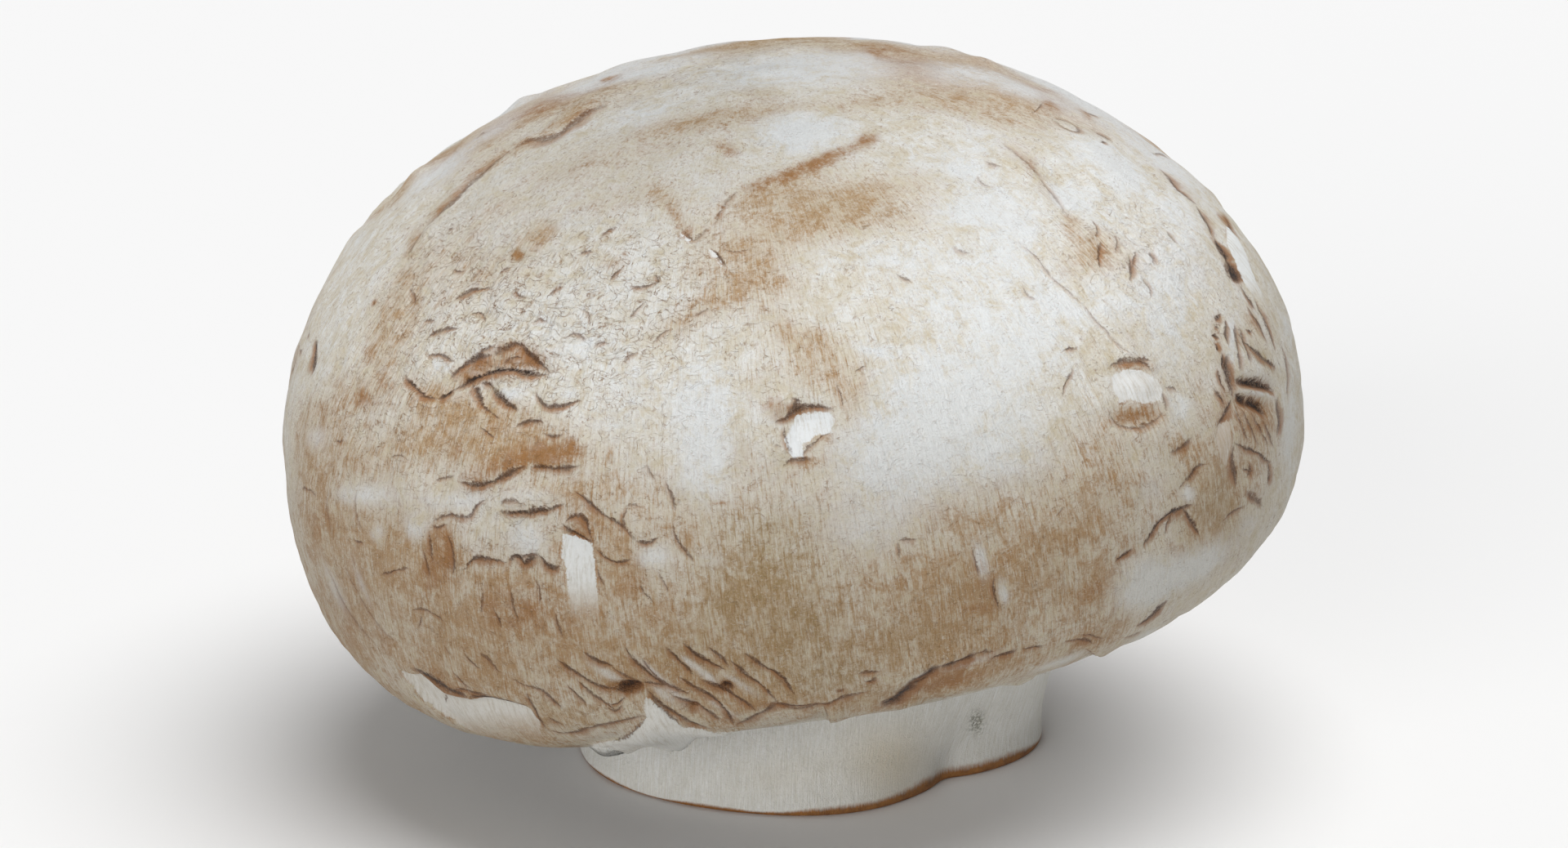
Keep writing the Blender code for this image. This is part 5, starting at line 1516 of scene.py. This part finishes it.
# Noises of the skin: how many to a millimetre, detail, roughness, distortion
NOISES = {
    "mottle": (0.4, 5.0, 0.65),
    "patch": (0.85, 7.0, 0.76, 0.7),
    "blotch": (1.9, 5.0, 0.7, 0.3),
    "grit": (5.5, 4.0, 0.7),
    "fleck": (4.2, 3.0, 0.6, 1.6),
    "hair": (6.0, 4.0, 0.7, 0.6),
    "thread": (15.0, 3.0, 0.6, 0.4),
    "wave": (1.25, 2.0, 0.5, 1.1),
}


def make_flesh_material():
    """Skin from white to brown, with flecks, curls, fibres and cracks, bare flesh, the cut stem, and painted
    shade over the lower flank and the upper left.
    """
    recipe = Recipe("flesh")
    grain = recipe.read_vector("grain")
    run = recipe.read("grain")[2]
    place = recipe.stretched(recipe.node("ShaderNodeTexCoord").outputs["Object"], (1000.0, 1000.0, 1000.0))
    tan, brown, olive = recipe.read("tint")
    pale, cells, under = recipe.read("tone")
    signed, bare_tone, bare_share = recipe.read("bare")
    stem, rim, painted_shade = recipe.read("foot")

    crown = 1.0 - run.rise(8.0, 24.0)
    mottle, patch, blotch, grit = (
        recipe.noise(place, *NOISES[name]) for name in ("mottle", "patch", "blotch", "grit")
    )
    fleck = recipe.noise(recipe.stretched(place, (1.0, 1.0, 1.7)), *NOISES["fleck"])
    hair = recipe.noise(recipe.stretched(grain, (1.0, 1.0, 0.13)), *NOISES["hair"])
    thread = recipe.noise(recipe.stretched(grain, (1.0, 1.0, 0.1)), *NOISES["thread"])
    fibre = hair * (1.0 - crown * 0.8) + grit * (crown * 0.6 + 0.25)
    rough = patch * 0.95 + fibre * 0.45 + blotch * 0.35

    base = recipe.mix((patch * 3.0 + blotch * 1.4 + mottle + 0.62).clamped(), SKIN_CREAM, SKIN_WHITE)
    base = recipe.mix((fibre * 3.2 + thread * 2.2 + mottle - 0.12).clamped() * 0.75, base, SKIN_STREAK)
    tan_share = (tan * 1.1 + rough * (tan.least(0.4) * 4.4 + 0.6)).rise(0.06, 1.0)
    base = recipe.mix(tan_share * 0.9, base, SKIN_TAN)
    grainy = fibre * 1.5 + thread * 2.6 + patch * 2.8 + fleck * 0.8
    base = recipe.mix((grainy + 0.02).clamped() * tan_share * 0.48, base, SKIN_BROWN)
    base = recipe.mix((0.0 - grainy).clamped() * (tan_share * 0.5 + 0.1), base, SKIN_WHITE)
    olive_share = (olive * 1.1 + rough * olive.least(0.5) * 3.0).clamped()
    base = recipe.mix(olive_share * (0.62 + grainy * 0.5).clamped(), base, SKIN_OLIVE)
    pale_share = (pale * 1.15 + rough * pale.least(0.45) * 3.6).rise(0.08, 0.80)
    base = recipe.mix(pale_share * 0.9, base, SKIN_PALE)
    brown_share = (brown * 1.25 + rough * brown.least(0.45) * 4.6).rise(0.06, 0.90)
    base = recipe.mix(brown_share * 0.95, base, SKIN_BROWN)
    base = recipe.mix((thread * 3.2 - 0.12).clamped() * (tan_share * 0.6 + 0.2), base, SKIN_BROWN)
    flecks = fleck.rise(0.07, 0.24) * (blotch * 3.0 + 0.55).clamped()
    base = recipe.mix(flecks * 0.6, base, SKIN_FLECK)
    base = recipe.mix((0.0 - fleck).rise(0.06, 0.22) * (patch * 3.0 + 0.5).clamped() * 0.6, base, SKIN_WHITE)

    wave = recipe.noise(recipe.stretched(place, (1.0, 1.0, 1.5)), *NOISES["wave"])
    curl = (1.0 - wave.size() / 0.035).clamped() * (grit * 3.0 + blotch * 2.5 + 0.22 + cells * 0.6).clamped()
    drift = recipe.node("ShaderNodeTexNoise", None, {"Vector": place, "Scale": 1.6}).outputs["Color"]
    drifted = recipe.node("ShaderNodeVectorMath", {"operation": "ADD"}, {0: place, 1: drift})
    flake_inputs = {"Vector": recipe.stretched(drifted.outputs["Vector"], (1.0, 1.0, 1.7)), "Scale": 0.72}
    flake = recipe.node("ShaderNodeTexVoronoi", {"feature": "DISTANCE_TO_EDGE"}, flake_inputs)
    edge_gap = Number(recipe, flake.outputs["Distance"])
    seam = (1.0 - edge_gap / 0.05).clamped() * (blotch * 5.0 + 0.25).clamped() * cells
    strokes = curl.most(seam) * (1.0 - pale_share * 0.6)
    base = recipe.mix(strokes * 0.85, base, SKIN_FLECK)
    base = recipe.mix((strokes * 1.6 - 0.9 + patch * 3.0).clamped() * cells * 0.8, base, CRACK_BROWN)
    cushion_share = edge_gap.rise(0.08, 0.36) * (patch * 3.0 + 0.5).clamped() * cells
    base = recipe.mix(cushion_share * 0.6, base, SKIN_WHITE)

    stem_skin = recipe.mix((hair * 3.2 + mottle + 0.5).clamped(), STEM_GREY, STEM_WHITE)
    stem_skin = recipe.mix((tan * 1.2 + fibre * tan * 3.0).clamped() * 0.8, stem_skin, STEM_TAN)
    spot_share = (olive * 0.9 + (grit * 7.0 + fleck * 4.0) * olive).clamped()
    stem_skin = recipe.mix(spot_share * 0.85, stem_skin, SPOT_GREY)
    rim_share = (rim + fibre * 0.5 + blotch * 0.4).rise(0.2, 0.75)
    rim_colour = recipe.mix((blotch * 2.0 + 0.5).clamped(), RIM_DARK, RIM_BROWN)
    stem_skin = recipe.mix(rim_share, stem_skin, rim_colour)
    base = recipe.mix(stem, base, stem_skin)
    base = recipe.mix(under, base, recipe.mix((hair + 0.5).clamped(), UNDER_PINK, UNDER_PALE))

    browning_and_shadow, core = 0.0, 0.0
    wander = grit * 0.34 + blotch * 0.46
    broken = (fleck * 3.0 + grit * 2.8 + blotch * 1.8 + 0.86).clamped()
    for number in range(CRACK_LAYERS):
        gap, half, dark = recipe.read(f"crack_{number}")
        aside = gap + wander * (half * 3.0 + 0.55)
        line = ((half * 1.15 - aside.size()) / (half * 0.8 + 0.01)).clamped() * dark
        # Band on the lower side of the crack: partly browning of the skin, partly painted shadow beneath the
        # raised upper side
        side_band = (1.0 - (aside - half * 1.3).size() / (half * 2.5 + 0.05)).clamped() * dark
        core = line.most(core)
        browning_and_shadow = side_band.most(browning_and_shadow)
    core = core * broken
    base = recipe.mix((browning_and_shadow * 1.3 + rough * browning_and_shadow * 3.0).clamped() * 0.85, base, BROWNING_AND_PAINTED_SHADOW)

    edge = signed + blotch * 0.42 + grit * 0.38
    inside = edge.rise(-0.03, 0.05) * (bare_share * 1.3 + fibre * 1.6 * (1.0 - bare_share) - 0.1).clamped()
    flesh = recipe.mix((fibre * 3.0 + mottle + 0.15).clamped(), BARE_WHITE, BARE_GREY)
    flesh = recipe.mix((bare_tone * 1.2 + rough * bare_tone * 2.0).clamped(), flesh, BARE_TAN)
    border = (1.0 - (edge + 0.05).size() / 0.10).clamped() * (blotch * 4.0 + 0.1).clamped() * bare_share
    base = recipe.mix(inside, base, flesh)
    base = recipe.mix(border * 0.8, base, BROWNING_AND_PAINTED_SHADOW)
    # Painted shade: darkens the skin and the bare flesh towards the cap's lower edge, all round, but not the
    # stem
    base = recipe.mix(run.rise(23.0, 40.0) * (1.0 - stem), base, LOWER_FLANK_PAINTED_SHADE, "MULTIPLY")
    # Painted shade over the upper left, the front and the veil fold
    base = recipe.mix(painted_shade, base, PAINTED_SHADE_GREY, "MULTIPLY")
    core_colour = recipe.mix((core * 1.8 - 0.75 + blotch * 2.6).clamped(), CRACK_BROWN, CRACK_DARK)
    base = recipe.mix(core, base, core_colour)
    recipe.feed(recipe.shader.inputs["Base Color"], base)

    puff = edge_gap.rise(0.0, 0.30) * cells
    relief = fibre * 0.08 + thread * 0.03 + grit * 0.07 + blotch * 0.09 + patch * 0.10 - core * 0.16
    relief = (relief + puff * 0.10 - curl * 0.04) * (1.0 - inside * 0.6)
    recipe.feed(recipe.shader.inputs["Normal"], recipe.bump(relief, MM))
    recipe.feed(recipe.shader.inputs["Roughness"], (0.6 + grit * 0.25 + inside * 0.1 - pale * 0.1).clamped())
    return recipe.material


def make_gill_material():
    """Pinkish brown blades."""
    recipe = Recipe("gill")
    place = recipe.node("ShaderNodeTexCoord").outputs["Object"]
    mottle = recipe.noise(place, 500.0, 3.0, 0.6)
    shade = recipe.mix((mottle + 0.5).clamped(), colour(122, 88, 74), colour(168, 128, 108))
    recipe.feed(recipe.shader.inputs["Base Color"], shade)
    recipe.shader.inputs["Roughness"].default_value = 0.8
    return recipe.material


def grain_coordinates(skin):
    """Round the cap by angle and down it by distance, so that a pattern can run along the fibres."""
    turn = np.radians(skin.azimuths)
    ring = np.broadcast_to(turn, skin.points.shape[:2])
    run = np.repeat(skin.run[:, None], COLUMNS, 1)
    return np.stack([CAP_RADIUS * np.cos(ring), CAP_RADIUS * np.sin(ring), run], -1)


def zone_values(skin):
    """Where the stem, what lies under the cap, the brown rim of the cut and the veil are, from 0 to 1."""
    rows = np.arange(len(skin.profile), dtype=float)[:, None] + np.zeros(COLUMNS)
    stem = smooth_step(rows, SKIN_ROWS + UNDER_ROWS - 4.0, SKIN_ROWS + UNDER_ROWS)
    under = smooth_step(rows, SKIN_ROWS + 4.5, SKIN_ROWS + 7.0) * (1.0 - stem)
    veil = smooth_step(rows, SKIN_ROWS - 1.0, SKIN_ROWS + 1.5) * (1.0 - stem)
    away = skin.azimuths - RIM_TALLEST_AZIMUTH
    tallest = bell(skin.azimuths, RIM_TALLEST_AZIMUTH, RIM_TALLEST_SPREAD)
    rim_height = RIM_HEIGHT * (RIM_LEAST + tallest + RIM_WAVE * np.sin(away / 5.0))
    rim = stem * np.clip(1.2 - skin.points[..., 2] / rim_height, 0.0, 1.0)
    out = polar(skin.points)[0] / STEM_FOOT_RADIUS
    rim = rim * (RIM_MIDDLE + (1.0 - RIM_MIDDLE) * smooth_step(out, *RIM_FADE))
    return stem, under, rim, veil


def make_flesh(skin):
    """Cap, veil, chamber and stem as one closed surface, lifted by its marks."""
    marks = Marks(skin)
    draw_seen_marks(skin, marks)
    draw_hidden_marks(skin, marks)
    roughen(skin, marks)
    shape = skin.points.shape[:2]
    lift = marks.lift.reshape(shape)
    lift[0], lift[-1] = lift[1].mean(), 0.0
    mesh = grid_mesh("flesh", skin.points + skin.normals * lift[..., None])
    stem, under, rim, veil = zone_values(skin)
    tints = {name: field.reshape(shape) for name, field in marks.tints.items()}
    give_values(mesh, "grain", grain_coordinates(skin))
    give_values(mesh, "tint", np.stack([tints["tan"], tints["brown"], tints["olive"]], -1))
    give_values(mesh, "tone", np.stack([tints["pale"], tints["cells"], under], -1))
    give_values(mesh, "bare", marks.bare.reshape(*shape, 3))
    # The third number of foot is the painted shade
    give_values(mesh, "foot", np.stack([np.maximum(stem, veil), rim, tints["painted_shade"]], -1))
    for number, layer in enumerate(marks.layers):
        give_values(mesh, f"crack_{number}", layer.reshape(*shape, 3))
    mesh.materials.append(make_flesh_material())
    piece = put("flesh", mesh)
    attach(piece, "root")
    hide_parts("mushroom")


def plate_height(radius):
    """Top of the gill plate, just under the chamber's roof."""
    roof = WIDEST_HEIGHT - CHAMBER_ROOF_DROP - GILL_GAP
    inner = 1.0 - smooth_step(radius, GILL_INNER_RADIUS, GILL_INNER_RADIUS + PLATE_INNER_WIDTH)
    outer = smooth_step(radius, GILL_OUTER_RADIUS - PLATE_OUTER_WIDTH, GILL_OUTER_RADIUS)
    return roof - PLATE_INNER_FALL * inner - PLATE_OUTER_FALL * outer


def make_gills():
    """Ring of thin blades under a plate: a closed outline turned round, lifted between the blades."""
    top = np.linspace(GILL_INNER_RADIUS, GILL_OUTER_RADIUS - 0.2, 10)
    under = np.linspace(GILL_OUTER_RADIUS - 0.4, GILL_INNER_RADIUS + 0.8, 18)
    edge = WIDEST_HEIGHT - GILL_EDGE_DROP
    outline = [(r, plate_height(r)) for r in top]
    outline += [(GILL_OUTER_RADIUS, plate_height(GILL_OUTER_RADIUS) - GILL_PLATE_THICKNESS)]
    outline += [(r, edge) for r in under]
    outline += [(GILL_INNER_RADIUS, plate_height(GILL_INNER_RADIUS) - GILL_PLATE_THICKNESS)]
    outline = np.array(outline)
    columns = GILL_COUNT * 4
    gill = np.arange(columns) // 4
    side = np.array([-1.0, -1.0, 1.0, 1.0])[np.arange(columns) % 4]
    is_gap = np.isin(np.arange(columns) % 4, (0, 3))
    radius = outline[:, :1]
    wander = 0.004 * np.sin(gill * 2.4) + 0.003 * np.sin(gill * 5.3)
    half = side * (GILL_THICKNESS / 2 + GILL_GAP_SIDE * is_gap)
    turn = (gill + 0.5) * 2 * math.pi / GILL_COUNT + wander + half / radius
    start = np.choose(gill % len(GILL_STARTS), GILL_STARTS)
    plate = plate_height(radius) - GILL_PLATE_THICKNESS
    hang = smooth_step(radius, start, start + GILL_EASE) * ~is_gap
    height = np.repeat(outline[:, 1:], columns, 1)
    height = np.where(height < plate, plate + (height - plate) * hang, height)
    points = np.stack([radius * np.cos(turn), radius * np.sin(turn), height], -1)
    wave_edge(points)
    lump_cap(points)
    lean_cap(points)
    rows = len(outline)
    index = np.arange(rows * columns).reshape(rows, columns)
    below, after = np.roll(index, -1, 0), np.roll(index, -1, 1)
    quads = np.stack([index, below, np.roll(below, -1, 1), after], -1).reshape(-1, 4)
    mesh = bpy.data.meshes.new("gill_ring")
    mesh.from_pydata((points.reshape(-1, 3) * MM).tolist(), [], quads.tolist())
    mesh.materials.append(make_gill_material())
    piece = put("gill_ring", mesh)
    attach(piece, "root")
    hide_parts("gills")


def make_floor():
    """Plain pale floor."""
    mesh = bpy.data.meshes.new("floor")
    corners = [(FLOOR_REACH * x, FLOOR_REACH * y, 0) for x, y in ((-1, -1), (1, -1), (1, 1), (-1, 1))]
    mesh.from_pydata(corners, [], [(0, 1, 2, 3)])
    recipe = Recipe("floor")
    recipe.shader.inputs["Base Color"].default_value = (FLOOR_WHITE, FLOOR_WHITE, FLOOR_WHITE, 1.0)
    recipe.shader.inputs["Roughness"].default_value = 1.0
    recipe.shader.inputs["Specular IOR Level"].default_value = 0.0
    mesh.materials.append(recipe.material)
    floor = put("floor", mesh)


def make_light():
    """Even sky, a soft sun high at the right and a weaker, low one from the front left."""
    world = bpy.data.worlds.new("sky")
    world.use_nodes = True
    background = world.node_tree.nodes["Background"]
    background.inputs["Color"].default_value = (1.0, 1.0, 1.0, 1.0)
    background.inputs["Strength"].default_value = SKY_STRENGTH
    bpy.context.scene.world = world
    for name, strength, spread, turns in SUNS:
        lamp = bpy.data.lights.new(name, "SUN")
        lamp.energy = strength
        lamp.angle = math.radians(spread)
        put(name, lamp).rotation_euler = [math.radians(angle) for angle in turns]


def make_camera():
    """Camera at the photograph's place and angle."""
    lens = bpy.data.cameras.new("camera")
    lens.lens = CAMERA_LENS
    lens.sensor_width = CAMERA_SENSOR
    lens.clip_start = CAMERA_NEAR
    camera = put("camera", lens)
    camera.location = [value * MM for value in CAMERA_PLACE]
    camera.rotation_euler = (math.radians(90.0 - CAMERA_PITCH), 0.0, 0.0)
    bpy.context.scene.camera = camera


def main():
    make_camera()
    make_light()
    make_floor()
    skin = Skin()
    make_flesh(skin)
    make_gills()
    bpy.context.scene.view_settings.view_transform = "Standard"
    bpy.context.view_layer.update()


main()
